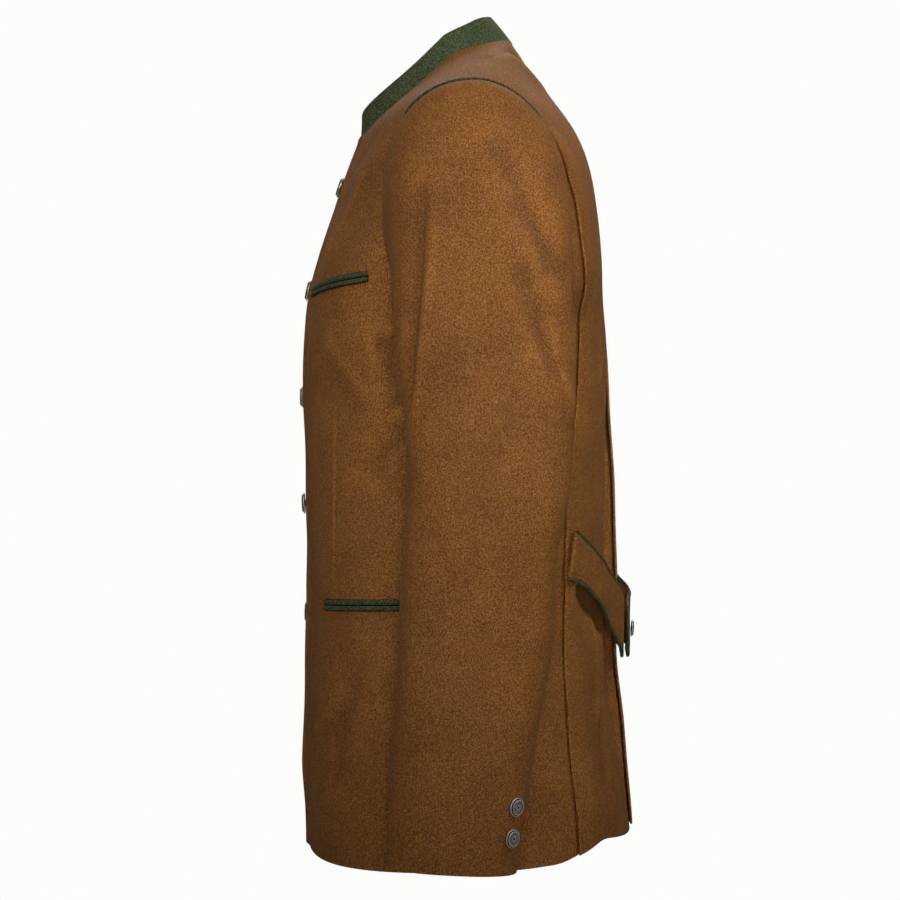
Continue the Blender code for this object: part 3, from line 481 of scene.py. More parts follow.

# %% [markdown]
# ## Folds
# Heavy fulled wool doesn't crumple. It lies in a few broad folds: over the collar bone, from the armpit
# down the chest, and across the upper arm. Cloth simulation would spread small folds everywhere, so these
# are laid one by one. Each has a line on the form, a rise above it or below it, a width to each side, and an
# edge: the radius of its rounded back. The line of a trunk's fold goes through pairs of a level and a length
# along the row, and a sleeve's through pairs of a place down it and an angle. The wearer's right side gets
# the same kind of folds, a little moved and weaker, as on a real jacket.

# %% The lines of the folds
FOLDS = (
    ("where", "rise", "left", "right", "edge", "line"),
    ("front", 0.0042, 0.009, 0.020, 0.003,
     ((1.60, 0.171), (1.44, 0.163), (1.32, 0.137), (1.21, 0.119), (1.13, 0.095))),
    ("front", -0.0024, 0.007, 0.007, 0.003, ((1.70, 0.120), (1.55, 0.122), (1.44, 0.098), (1.38, 0.075))),
    ("front", -0.0060, 0.010, 0.007, 0.004, ((0.965, 0.230), (0.955, 0.212), (0.945, 0.197))),
    ("front", -0.0040, 0.010, 0.011, 0.004, ((0.960, 0.216), (0.90, 0.212), (0.83, 0.218))),
    ("front", -0.0042, 0.015, 0.011, 0.005, ((0.82, 0.226), (0.765, 0.203), (0.705, 0.181))),
    ("front", 0.0034, 0.013, 0.010, 0.005, ((0.985, 0.128), (0.90, 0.172), (0.83, 0.210))),
    ("front", 0.0030, 0.014, 0.009, 0.004, ((0.215, 0.105), (0.28, 0.142), (0.34, 0.172))),
    ("front", -0.0030, 0.016, 0.014, 0.006, ((0.12, 0.150), (0.25, 0.166), (0.42, 0.190))),
    ("front", 0.0026, 0.008, 0.012, 0.004, ((0.60, 0.026), (0.42, 0.032), (0.22, 0.034), (0.06, 0.030))),
    ("back", -0.0034, 0.006, 0.006, 0.003, ((1.95, 0.070), (1.86, 0.078), (1.74, 0.062), (1.66, 0.030))),
    ("back", 0.0030, 0.009, 0.008, 0.004, ((1.86, 0.100), (1.72, 0.094), (1.60, 0.060), (1.55, 0.020))),
    ("back", 0.0034, 0.007, 0.008, 0.003, ((0.47, 0.100), (0.37, 0.098), (0.27, 0.108), (0.20, 0.120))),
    ("back", -0.0034, 0.009, 0.009, 0.004, ((0.40, 0.076), (0.25, 0.098), (0.08, 0.135))),
    ("back", -0.0070, 0.012, 0.010, 0.004, ((0.50, 0.150), (0.47, 0.130), (0.43, 0.095), (0.40, 0.060))),
    ("sleeve", 0.0034, 0.012, 0.004, 0.0015, ((0.58, 31), (0.82, 36), (0.95, 42), (1.05, 51), (1.16, 72))),
    ("sleeve", -0.0050, 0.004, 0.012, 0.003, ((0.50, 35), (0.72, 39), (0.90, 47), (1.04, 59), (1.14, 76))),
    ("sleeve", -0.0034, 0.008, 0.008, 0.003,
     ((0.40, -4), (0.52, -14), (0.62, -26), (0.71, -40), (0.80, -66))),
    ("sleeve", -0.0018, 0.006, 0.007, 0.002, ((0.60, -14), (0.66, -24), (0.73, -36), (0.81, -50))),
    ("sleeve", -0.0050, 0.010, 0.007, 0.003, ((0.74, -17), (0.86, -26), (0.96, -37), (1.06, -58))),
    ("sleeve", 0.0036, 0.007, 0.004, 0.0015, ((0.88, -36), (0.98, -46), (1.06, -60), (1.13, -80))),
    ("sleeve", 0.0018, 0.003, 0.003, 0.001, ((0.70, 85), (1.0, 88), (1.3, 89), (1.6, 89), (1.98, 88))),
    ("sleeve", 0.0016, 0.003, 0.003, 0.001, ((0.95, -86), (1.3, -87), (1.6, -87), (1.98, -86))),
    ("sleeve", 0.0014, 0.020, 0.014, 0.006, ((1.20, 55), (1.30, 20), (1.36, -20))),
    ("sleeve", -0.0012, 0.014, 0.018, 0.006, ((1.30, 60), (1.39, 30), (1.44, -5))),
    ("sleeve", -0.0018, 0.010, 0.012, 0.005, ((1.18, 130), (1.26, 165), (1.30, 205))),
    ("sleeve", 0.0016, 0.012, 0.012, 0.005, ((1.34, 120), (1.42, 160), (1.46, 200))),
)


def smooth_line(points, count=48):
    """A curve through a few points in space, even in its length: cubic pieces, each coordinate apart."""
    points = np.asarray(points, float)
    key = lengths_of(points)
    columns = [read((("key", "value"), *zip(key, points[:, i])), "value", np.linspace(0, key[-1], count))
               for i in range(3)]
    return places(*columns)


def fold_line(where, line):
    """A fold's line in space, from its few places on the form or the sleeve."""
    first, second = np.array(line, float).T
    points = on_sleeve(second, first)[0] if where == "sleeve" else on_form(where, first, second)[0]
    return smooth_line(points)


FOLD_REACH = 5  # widths from its line, past which a fold isn't felt
FOLD_FADE = 0.2  # the share of its line over which it fades at each end


def fold_height(points, normals, line, rise, left, right, edge):
    """rise * exp(-(sqrt(d² + e²) - e) / w), with d the distance to the line, e the edge's radius and w the
    width on that side of it, times an ease to 0 over the last fifth of the line at each end."""
    reach = FOLD_REACH * (left + right) / 2
    low, high = line.min(axis=0) - reach, line.max(axis=0) + reach
    near = ((points > low) & (points < high)).all(axis=-1)
    height = np.zeros(points.shape[:-1])
    if not near.any():
        return height
    start, step = line[:-1], np.diff(line, axis=0)
    offset = points[near][:, None] - start[None]
    t = np.clip((offset * step).sum(-1) / (step * step).sum(-1), 0, 1)
    offset -= t[..., None] * step
    distance = np.linalg.norm(offset, axis=-1)
    nearest = distance.argmin(axis=1)
    row = np.arange(len(nearest))
    share = (nearest + t[row, nearest]) / len(step)
    to_right = (np.cross(step[nearest], normals[near]) * offset[row, nearest]).sum(-1) > 0
    width = np.where(to_right, right, left)
    d = distance[row, nearest]
    fade = ease(share, 0.0, FOLD_FADE) * (1 - ease(share, 1 - FOLD_FADE, 1.0))
    height[near] = rise * fade * np.exp(-(np.sqrt(d * d + edge * edge) - edge) / width)
    return height


# What the wearer's right side multiplies each rise by, and adds to the places of each line.
RIGHT_SIDE = {"rise": 0.85, "level": -0.018, "down": 0.035, "angle": 4.0, "length": 0.004}


def folds_of(group, right):
    """The lines of one group, the trunk's or the sleeve's, with the right side's moved and weaker."""
    found = []
    for where, rise, left_width, right_width, edge, line in FOLDS[1:]:
        if (where == "sleeve") != (group == "sleeve"):
            continue
        if right:
            moved = ("down", "angle") if group == "sleeve" else ("level", "length")
            line = [(a + RIGHT_SIDE[moved[0]], b + RIGHT_SIDE[moved[1]]) for a, b in line]
            rise *= RIGHT_SIDE["rise"]
        found.append((fold_line(where, line), rise, left_width, right_width, edge))
    return found


FOLD_LINES = {(g, right): folds_of(g, right) for g in ("trunk", "sleeve") for right in (False, True)}
ARMHOLE_LINE = armhole_point(np.linspace(0, 359, 120))
NECK_LINE = np.concatenate([neckline_point("front", np.linspace(0, 90, 40)),
                            neckline_point("back", np.linspace(90, 0, 40))])
UNEVEN = 0.00045  # the height of each of the waves that keep large areas from lying flat
CALM, STILL = 0.030, 0.010  # how far from the seams the waves and the folds come in


def away_from(points, line, reach):
    """0 on a line of close points, and 1 from reach away."""
    flat = points.reshape(-1, 3)
    nearest = np.full(len(flat), np.inf)
    for block in np.array_split(np.arange(len(line)), 8):  # in eighths, to spare memory
        gap = np.linalg.norm(flat[:, None] - line[None, block], axis=-1)
        nearest = np.minimum(nearest, gap.min(axis=1))
    return ease(nearest, 0.0, reach).reshape(points.shape[:-1])


def lift(group, points, normals, right=False):
    """How far the cloth stands off the form, at points of the left half: its folds, and a gentle
    unevenness of three crossing waves, which go on over the centre lines."""
    height = sum(fold_height(points, normals, *fold) for fold in FOLD_LINES[group, right])
    x, y, z = np.moveaxis(points, -1, 0)
    x = -x if right else x
    first, second = np.sin(38 * x + 27 * z + 1.1), np.sin(44 * y - 31 * z + 0.4)
    waves = first + second + np.sin(57 * z + 23 * x - 29 * y + 2.0)
    calm = away_from(points, ARMHOLE_LINE, CALM) * away_from(points, NECK_LINE, CALM)
    return height * away_from(points, ARMHOLE_LINE, STILL) + UNEVEN * waves * calm


print(len(FOLDS) - 1, "folds on the left and as many on the right")

# %% [markdown]
# ## From a patch of the form to a wall of cloth
# Cloth has two sides and an edge. Solidify would square each edge off, so the wall is built between a grid
# of points and the same grid moved in along the form's normals. Close to an edge both sides fall towards
# each other on a quarter circle: a small one where two pieces are sewn together, which leaves the fine
# groove of a pressed seam, and a full one on a hem, where the cloth turns back on itself.

# %% Meshes
OPEN_EDGE, SEWN_EDGE = 0.00112, 0.00065  # radii of the rounding
STEP = 0.0036  # the grain of the cloth's grids
NEAR_EDGE = 0.0012  # the stretch of closer points along an edge


def linked(name, vertices, faces, finish):
    """Puts an array of points and groups of faces into a mesh, shades it smooth and links its object."""
    mesh = bpy.data.meshes.new(name)
    mesh.from_pydata(vertices.tolist(), [], [face for group in faces for face in group.tolist()])
    mesh.materials.append(finish)
    mesh.shade_smooth()
    made = bpy.data.objects.new(name, mesh)
    bpy.context.scene.collection.objects.link(made)
    return made


def new_piece(name, vertices, faces, finish, slot):
    """A piece of the jacket, which rides with its one body. The slot is not used."""
    made = linked(name, vertices, faces, finish)
    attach(made, "root")
    return made


def spaced(low, high, step, near_low, near_high=None):
    """Even steps from low to high with closer ones at both ends, where the wall's edge is rounded."""
    near_high = near_low if near_high is None else near_high
    close = np.array([0.0, 0.08, 0.3, 0.65, 1.0])
    count = max(int(round((high - low - near_low - near_high) / step)), 2)
    even = np.linspace(low + near_low, high - near_high, count + 1)[1:-1]
    return np.concatenate([low + near_low * close, even, high - near_high * close[::-1]])


def stretched(low, high, step, near):
    """spaced() for each row of arrays low and high, with the same number of columns in all of them."""
    widest = spaced(0.0, float((high - low).max()), step, near)
    inner = (widest - near) / (widest[-1] - 2 * near)
    close = np.clip(inner, 0, 1)
    edge = np.minimum(widest, near) + np.maximum(widest - (widest[-1] - near), 0)
    return low[:, None] + edge[None] + close[None] * (high - low - 2 * near)[:, None]


def rounding(points, radii):
    """How deep both sides have fallen: r - sqrt(r² - (r - d)²) at a distance d under r from an edge.
    The radii are those of the left, right, low and high edge, as numbers or as a column of them."""
    depth = np.zeros(points.shape[:2])
    across = lengths_of(points)
    up = lengths_of(points.swapaxes(0, 1)).T
    for distance, radius in zip((across, across[:, -1:] - across, up, up[-1:] - up), radii):
        gone = np.clip(radius - distance, 0, radius)
        depth = np.maximum(depth, radius - np.sqrt(radius**2 - gone**2))
    return depth[..., None]


def grid_faces(rows, columns):
    """The quads of a grid whose points are numbered along its rows."""
    across, up = np.meshgrid(np.arange(columns - 1), np.arange(rows - 1))
    corner = (up * columns + across).ravel()
    return np.stack([corner, corner + 1, corner + 1 + columns, corner + columns], axis=1)


def wall(points, normals, thickness, radii):
    """Vertices and faces of the closed wall from a grid of points inwards."""
    depth = rounding(points, radii)
    outer, inner = points - normals * depth, points - normals * (thickness - depth)
    rows, columns = points.shape[:2]
    place = np.arange(rows * columns).reshape(rows, columns)
    loop = np.concatenate([place[0, :-1], place[:-1, -1], place[-1, :0:-1], place[:0:-1, 0]])
    ahead = np.roll(loop, -1)
    side = grid_faces(rows, columns)
    rim = np.stack([ahead, loop, loop + rows * columns, ahead + rows * columns], axis=1)
    faces = np.concatenate([side, side[:, ::-1] + rows * columns, rim])
    i, j = rows // 2, columns // 2
    facing = np.cross(points[i, j + 1] - points[i, j], points[i + 1, j] - points[i, j])
    if facing @ normals[i, j] < 0:
        faces = faces[:, ::-1]
    return np.concatenate([outer.reshape(-1, 3), inner.reshape(-1, 3)]), faces


def area_of(points):
    """The area of a grid of points, half the cross product of each cell's diagonals."""
    first, second = points[1:, 1:] - points[:-1, :-1], points[1:, :-1] - points[:-1, 1:]
    return float(np.linalg.norm(np.cross(first, second), axis=-1).sum() / 2)


def neighbours_mean(height, reach=4):
    """The mean of each height and its neighbours within a few steps, along both directions of the grid."""
    for _ in range(2):
        padded = np.pad(height, ((reach, reach), (0, 0)), "edge")
        sums = np.cumsum(np.vstack([np.zeros((1, padded.shape[1])), padded]), axis=0)
        height = ((sums[2 * reach + 1 :] - sums[: -2 * reach - 1]) / (2 * reach + 1)).T
    return height


CREST = 0.0012  # a ridge this far over its surroundings counts as 1
RIDGE_MOST, PAINTED_LIGHT_MOST = 0.8, 2.0  # the most that a ridge, and a ridge and an edge together, count in the painted light
EDGE_HIGHLIGHT, EDGE_REACH = 2.2, 2.0  # an open edge's painted highlight, and how many of its radii it reaches in
SEAM_SHADE, SEAM_REACH = 2.0, 1.5  # a sewn edge's painted shade, and its reach


def fold_light_paint(points, height, radii):
    """The painted light of the cloth: the height over its neighbours' mean counts up to 0.8 on a ridge, as a
    painted highlight, and down to -0.8 in a hollow, as painted shade. The rounding of an open edge adds a
    painted highlight to it, up to 2, and a sewn one's takes from it as painted shade."""
    is_open = [np.asarray(radius) > SEWN_EDGE for radius in radii]
    hem = rounding(points, [EDGE_REACH * radius * opened for radius, opened in zip(radii, is_open)])
    seam = rounding(points, [SEAM_REACH * radius * ~opened for radius, opened in zip(radii, is_open)])
    painted_light, shade = hem[..., 0] / EDGE_REACH / OPEN_EDGE, seam[..., 0] / SEAM_REACH / SEWN_EDGE
    ridge = np.clip((height - neighbours_mean(height)) / CREST, -RIDGE_MOST, RIDGE_MOST)
    return np.clip(ridge + EDGE_HIGHLIGHT * painted_light - SEAM_SHADE * shade, -PAINTED_LIGHT_MOST, PAINTED_LIGHT_MOST)


def mark(made, name, values):
    """Keeps one number for each vertex in the mesh, for the finish to read."""
    made.data.attributes.new(name, "FLOAT", "POINT").data.foreach_set("value", values)


SIDES = (("left", False), ("right", True))


def turned(right):
    """What points of the left half are multiplied by, to lie on the side asked for."""
    return MIRROR if right else np.ones(3)


SHEETS = {}  # each cloth piece's name, with its area and its flat width and length, as cut


def cloth_piece(name, base, normals, group, right, radii, stand=0.0):
    """A panel of brown loden: the form's points, moved out by its folds and by stand, as a closed wall. It
    is worked out on the left half, and mirrored for the wearer's right."""
    height = lift(group, base, normals, right) + stand
    points = base + normals * height[..., None]
    vertices, faces = wall(points * turned(right), normals * turned(right), CLOTH, radii)
    made = new_piece(name + "_cloth", vertices, [faces], brown, "brown_loden")
    # Painted light kept in the mesh: a painted highlight on ridges and open edges, painted shade in hollows
    # and seams.
    painted_light = fold_light_paint(points, height, radii).ravel()
    mark(made, "painted_fold_light", np.concatenate([painted_light, 0 * painted_light]))
    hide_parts(name)
    flat = (float(lengths_of(base)[:, -1].max()), float(lengths_of(base.swapaxes(0, 1))[:, -1].max()))
    SHEETS[made.name] = (area_of(base), flat)
    print(name, len(faces) * 2, "triangles,", round(area_of(base) * 1e4), "cm² of cloth")


# %% [markdown]
# ## Finishes: the two lodens
# Loden is wool cloth that was fulled until the weave closed, then brushed, so that a short nap lies all one
# way. Its wool is dyed before it is spun and mixed, so brown, ochre, rust and near-black fibres lie side by
# side in flecks of a millimetre or two. The eye sees a dull, warm colour. So the colour here is a ground of
# noise at real sizes, with three noises of stray flecks over it and a slow one that makes it cloudy. Over
# that lies painted light kept in the mesh: a painted highlight on ridges and open edges, and painted shade
# in hollows and seams. A slight sheen gives the bloom of a nap seen from the side. A woven pattern would be
# wrong: no thread shows.

# %% Helpers for materials


def linear(code):
    """An sRGB hex colour as linear numbers: ((c + 0.055) / 1.055)^2.4, or c / 12.92 when it is dark."""
    parts = [int(code[i : i + 2], 16) / 255 for i in (1, 3, 5)]
    return (*[c / 12.92 if c <= 0.04045 else ((c + 0.055) / 1.055) ** 2.4 for c in parts], 1.0)


def node(tree, kind, inputs=None, **settings):
    """Adds a shader node. inputs gives each socket a number or colour, or the output that feeds it."""
    made = tree.nodes.new("ShaderNode" + kind)
    for name, value in settings.items():
        setattr(made, name, value)
    for socket, value in (inputs or {}).items():
        if isinstance(value, bpy.types.NodeSocket):
            tree.links.new(value, made.inputs[socket])
        else:
            made.inputs[socket].default_value = value
    return made


def stops(ramp, *pairs):
    """Sets a colour ramp's stops from pairs of a place and a colour code, and gives back its output."""
    elements = ramp.color_ramp.elements
    while len(elements) < len(pairs):
        elements.new(0.5)
    for element, (place, code) in zip(elements, pairs):
        element.position = place
        element.color = linear(code)
    return ramp.outputs["Color"]


def per_metre(millimetres):
    """The scale of a noise whose tufts are this wide."""
    return 1000.0 / millimetres


def blank(name):
    """A new material with its tree and its shader."""
    made = bpy.data.materials.new(name)
    made.use_nodes = True
    return made, made.node_tree, made.node_tree.nodes["Principled BSDF"]


# %% The melange cloth
MIX_A, MIX_B, MIX_RESULT = 6, 7, 2  # the colour sockets of a Mix node, by their numbers
PAINTED_LIGHT_SPAN = 0.52  # how much lighter the strongest painted highlight makes the cloth, and how much darker the strongest painted shade


def loden(name, dark, wool, light, flecks, bloom, sheen):
    """Fulled wool melange: a ground from dark to light, with stray fibres in the colours of flecks, a
    painted highlight on ridges and edges and painted shade in hollows and seams, and with a bloom where it
    is seen or lit at a slant."""
    made, tree, shader = blank(name)
    here = node(tree, "TexCoord").outputs["Object"]
    # Wool fibres are 0.02 mm thick and don't show, so the ground's noise is as coarse as their tufts. It is
    # drawn out a little along the nap, which lies down the jacket.
    nap = node(tree, "Mapping", {"Vector": here, "Scale": (1.0, 1.0, 0.8)}).outputs["Vector"]
    ground = node(tree, "TexNoise", {"Vector": nap, "Scale": per_metre(1.1), "Detail": 2.0,
                                     "Roughness": 0.7}).outputs["Fac"]
    mix = stops(node(tree, "ValToRGB", {"Fac": ground}), (0.33, dark), (0.50, wool), (0.67, light))
    for number, (code, size, share) in enumerate(flecks):
        # Each noise is read at a place of its own, so that no two kinds of flecks fall together.
        moved = node(tree, "Mapping", {"Vector": here, "Location": (0.37 * number + 0.1, 0.11, 0.53)})
        stray = node(tree, "TexNoise", {"Vector": moved.outputs["Vector"], "Scale": per_metre(size),
                                        "Detail": 3.0, "Roughness": 0.7})
        amount = node(tree, "MapRange", {"Value": stray.outputs["Fac"], "From Min": 0.54, "From Max": 0.66,
                                         "To Max": share})
        mix = node(tree, "Mix", {"Factor": amount.outputs["Result"], MIX_A: mix, MIX_B: linear(code)},
                   data_type="RGBA").outputs[MIX_RESULT]
    cloud = node(tree, "TexNoise", {"Vector": here, "Scale": per_metre(45.0), "Detail": 5.0,
                                    "Roughness": 0.62})
    shade = node(tree, "MapRange", {"Value": cloud.outputs["Fac"], "From Min": 0.3, "From Max": 0.7,
                                    "To Min": 0.86, "To Max": 1.14})
    # The painted light kept in the mesh: lighter on ridges and open edges, darker in hollows and seams.
    painted_light = node(tree, "Attribute", attribute_name="painted_fold_light").outputs["Fac"]
    from_mesh = node(tree, "MapRange", {"Value": painted_light, "From Min": -PAINTED_LIGHT_MOST, "From Max": PAINTED_LIGHT_MOST,
                                   "To Min": 1 - PAINTED_LIGHT_SPAN, "To Max": 1 + PAINTED_LIGHT_SPAN}).outputs["Result"]
    level = node(tree, "Math", {0: shade.outputs["Result"], 1: from_mesh}, operation="MULTIPLY")
    toned = node(tree, "VectorMath", {0: mix, "Scale": level.outputs["Value"]}, operation="SCALE")
    tree.links.new(toned.outputs["Vector"], shader.inputs["Base Color"])
    fuzz = node(tree, "TexNoise", {"Vector": nap, "Scale": per_metre(1.2), "Detail": 3.0, "Roughness": 0.7})
    fine = node(tree, "Bump", {"Height": fuzz.outputs["Fac"], "Strength": 0.7, "Distance": 0.0007})
    coarse = node(tree, "Bump", {"Height": ground, "Normal": fine.outputs["Normal"], "Strength": 0.4,
                                 "Distance": 0.0009})
    tree.links.new(coarse.outputs["Normal"], shader.inputs["Normal"])
    shader.inputs["Roughness"].default_value = 0.75
    shader.inputs["IOR"].default_value = 1.5
    shader.inputs["Specular IOR Level"].default_value = 0.26
    shader.inputs["Sheen Weight"].default_value = sheen
    shader.inputs["Sheen Roughness"].default_value = 0.1
    shader.inputs["Sheen Tint"].default_value = linear(bloom)
    return made


# Each fleck: its colour, its size in mm and how much of its colour shows.
BROWN_FLECKS = (("#74423c", 1.4, 0.50), ("#40303c", 1.2, 0.42), ("#b0883c", 1.5, 0.45))
GREEN_FLECKS = (("#7d7f62", 1.8, 0.45), ("#10160e", 1.8, 0.50), ("#5f5f30", 2.4, 0.30))
brown = loden("brown_loden_melange", "#5c320e", "#8f5419", "#b5803e", BROWN_FLECKS, "#ffd2a0", sheen=0.10)
green = loden("green_loden_melange", "#1a2212", "#3a4627", "#6b7950", GREEN_FLECKS, "#d9e0b4", sheen=0.20)
print("cloth finishes:", brown.name, green.name)


# %% [markdown]
# ## Finishes: silver, thread and the shade inside a pocket
# The buttons are cast white metal with an old silver finish: they were blackened all over and then
# polished, so that only what stands proud shines and the recesses stay dark. The table of the button's
# section says which is which, and it is kept in the mesh as an attribute. The black is a film of sulphide,
# which isn't a metal, so the metallic value is a half: the eye sees grey silver that is never a mirror.
# Thread is spun polyester, a shade darker than the cloth.
# The shade inside a pocket or a buttonhole is painted: a near-black strip in its mouth.

# %% Silver, thread and shade
def old_silver():
    """Blackened silver, lighter and smoother where the polish attribute is high, with patches of grime."""
    made, tree, shader = blank("blackened_polished_silver")
    from_mesh = node(tree, "Attribute", attribute_name="polish").outputs["Fac"]
    here = node(tree, "TexCoord").outputs["Object"]
    grime = node(tree, "TexNoise", {"Vector": here, "Scale": per_metre(1.8), "Detail": 4.0})
    patchy = node(tree, "Math", {0: grime.outputs["Fac"], 1: 0.5}, operation="SUBTRACT")
    level = node(tree, "Math", {0: patchy.outputs["Value"], 1: 0.5, 2: from_mesh}, operation="MULTIPLY_ADD")
    tone = stops(node(tree, "ValToRGB", {"Fac": level.outputs["Value"]}),
                 (0.08, "#12110f"), (0.32, "#78756e"), (0.64, "#d0ccc2"), (1.0, "#f5f3ec"))
    tree.links.new(tone, shader.inputs["Base Color"])
    rough = node(tree, "MapRange", {"Value": level.outputs["Value"], "To Min": 0.65, "To Max": 0.34})
    tree.links.new(rough.outputs["Result"], shader.inputs["Roughness"])
    dents = node(tree, "Bump", {"Height": grime.outputs["Fac"], "Strength": 0.25, "Distance": 0.0002})
    tree.links.new(dents.outputs["Normal"], shader.inputs["Normal"])
    shader.inputs["Metallic"].default_value = 0.5
    return made


def plain_cloth(name, code):
    """Thread, or a strip of painted shade: one colour, varied by a fine noise of the fibres."""
    made, tree, shader = blank(name)
    here = node(tree, "TexCoord").outputs["Object"]
    fibres = node(tree, "TexNoise", {"Vector": here, "Scale": per_metre(0.8), "Detail": 2.0})
    shade = node(tree, "MapRange", {"Value": fibres.outputs["Fac"], "To Min": 0.75, "To Max": 1.25})
    toned = node(tree, "VectorMath", {0: linear(code)[:3], "Scale": shade.outputs["Result"]},
                 operation="SCALE")
    tree.links.new(toned.outputs["Vector"], shader.inputs["Base Color"])
    shader.inputs["Roughness"].default_value = 0.9
    shader.inputs["Specular IOR Level"].default_value = 0.2
    return made


silver = old_silver()
brown_thread = plain_cloth("spun_polyester_thread_brown", "#5a3a1c")
pocket_shade = plain_cloth("pocket_mouth_shade", "#0c0f09")
print("other finishes:", silver.name, brown_thread.name, pocket_shade.name)

# %% [markdown]
# ## The fronts
# A front is one piece from the neck to the hem, with a dart that takes in the waist. It could be modelled
# as a plane and pulled into place, but as a patch of the form it needs no pulling: its columns are lengths
# along the rows, from the front edge to the side seam. The left front laps over the right one, so it
# stands off by two layers near the edge and meets the form again further in. The dart is a fold like the
# others, only 1 mm wide, and the columns crowd together where it runs.

# %% Levels and columns of the fronts
DART = (("level", "length"), (0.500, 0.1386), (0.671, 0.1420), (0.860, 0.1525))
DART_STEPS = np.array([-5.0, -3.0, -1.6, -0.9, -0.4, 0.0, 0.4, 0.9, 1.6, 3.0, 5.0]) / 1000
LAP_WHOLE, LAP_GONE = OVERLAP + 0.004, OVERLAP + 0.034  # how far in the upper front stands off
LAP_TOP, LAP_OVER = 1.53, 1.62  # the levels over which the lap ends
DART_FOLD = (-0.0018, 0.0012, 0.0012, 0.0003)  # rise, widths and edge


HEM_LEVELS, ARMPIT_LEVELS, TOP_LEVELS = 0.0025, 0.005, 0.006  # the stretches of closer levels there
OVER_ARM, OVER_NECK = 0.0094, 0.012  # the grain of the levels above the armpit and along the neckline


def panel_levels(part):
    """Levels a grain apart: closer by the hem and the top, and one where the neckline starts."""
    under = spaced(0.0, 1.0, STEP / UNDER_ARM, HEM_LEVELS, ARMPIT_LEVELS)
    corner = 1 + NECK_SHARE[part]
    over = [np.arange(1.0, corner, OVER_ARM)[1:], spaced(corner, 2.0, OVER_NECK, TOP_LEVELS)]
    return np.concatenate([under[:-2], [1.0], *over])


def front_edge(levels):
    """How far from the centre line a front starts: past it, and then trimmed back to the collar's end."""
    height = yoke_start("front", np.clip(levels - 1, 0, 1))[:, 2]
    back = np.clip((height - FRONT_TOP) / (CENTRE_TOP["front"] - FRONT_TOP), 0, 1)
    edge = np.where(levels > 1, -OVERLAP + (OVERLAP + COLLAR_GAP) * back, -OVERLAP)
    return np.where(levels - 1 > NECK_SHARE["front"] - NEARLY, 0.0, edge)


def front_columns(levels):
    """Lengths from the front edge to the side seam, crowded at both ends and along the dart."""
    start, end = front_edge(levels), total("front", levels)
    share = read(DART, "length", levels) / end
    dart = np.where(levels <= 1, share, share[np.abs(levels - 1).argmin()]) * end
    near_edge = stretched(start, dart + DART_STEPS[0], 0.0030, NEAR_EDGE)
    to_seam = stretched(dart + DART_STEPS[-1], end, STEP, NEAR_EDGE)
    return np.concatenate([near_edge[:, :-1], dart[:, None] + DART_STEPS[None], to_seam[:, 1:]], axis=1)


def round_corner(base, columns):
    """Turns the hem up to the front edge: z rises by R - sqrt(R² - g²), with g how far inside R it is."""
    gone = np.clip(CORNER_RADIUS - columns - OVERLAP, 0, CORNER_RADIUS)
    rise = CORNER_RADIUS - np.sqrt(CORNER_RADIUS**2 - gone**2)
    before = base[..., 2].copy()
    base[..., 2] += rise * np.clip(1 - (before - HEM["front"]) / CORNER_FADE, 0, 1)
    base[..., 1] += read(PROFILE, "front", base[..., 2]) - read(PROFILE, "front", before)


def lap_over(levels, columns):
    """How far the upper front stands off: whole near its edge, and gone at the neck and further in."""
    return LAP * ((1 - ease(columns, LAP_WHOLE, LAP_GONE)) * (1 - ease(levels, LAP_TOP, LAP_OVER)))


DART_LINE = fold_line("front", DART[1:])

# %% Make the fronts
levels = panel_levels("front")
rows, columns = levels[:, None], front_columns(levels)
edge = np.where(rows > 1 + NECK_SHARE["front"] - NEARLY, SEWN_EDGE, OPEN_EDGE)
base, normals = on_form("front", rows, columns)
round_corner(base, columns)
taken_in = fold_height(base, normals, DART_LINE, *DART_FOLD)
for side_name, right in SIDES:
    stand = taken_in + (0.0 if right else lap_over(rows, columns))
    radii = (edge, SEWN_EDGE, OPEN_EDGE, SEWN_EDGE)
    cloth_piece(f"front_{side_name}", base, normals, "trunk", right, radii, stand)

# %% [markdown]
# ## The back, its pleats and the side pieces
# The back is cut in halves that fold in along the centre, with a separate underlay behind the folds, so
# that it can open when the wearer leans. Beside each armhole another pleat, the action pleat, laps the back
# over a narrow side piece. A pleat drawn as a crease in one sheet would look painted on. Here each layer is
# there, one cloth's thickness over the next, and the light finds the steps by itself.

# %% Make the back and its pleats
PLEAT_END = 1.34  # the level where the action pleat runs out
PLEAT_BACK = 0.05  # how far from its fold the back starts to rise over the side piece
PLEAT_FADE = PLEAT_END + 0.03, PLEAT_END + 0.17  # the levels over which that rise goes
TUCK, LEAST_SIDE = 0.012, 0.008  # how far the side piece goes under the back, and its least width
UNDERLAY, UNDERLAY_TOP = 0.040, 0.985  # half its width, and the level of its top
LEFT_EDGE = -UNDERLAY - 0.015  # it goes further on the wearer's right
RAMP, RAMP_STEP = (-0.007, 0.001), 0.001  # where it climbs from the right back's form to the left one's
SIDE_TOP = 1.328
OPENING, OPENING_TOP, OPENING_RUN = 0.0040, 0.97, 0.4  # half the slit at the centre, and its levels


def pleat_length(name, levels):
    """How far along a back row the action pleat's folded edge lies: to the armhole, above the pleat."""
    fold = length_at_x(name, levels, read(PLEAT, "x", levels))
    return np.where(levels < PLEAT_END, fold, total(name, levels))


def centre_opening(levels):
    """How far from the centre line each half of the back starts: at it above, and apart at the hem."""
    return OPENING * ease(OPENING_TOP - levels, 0.0, OPENING_RUN)


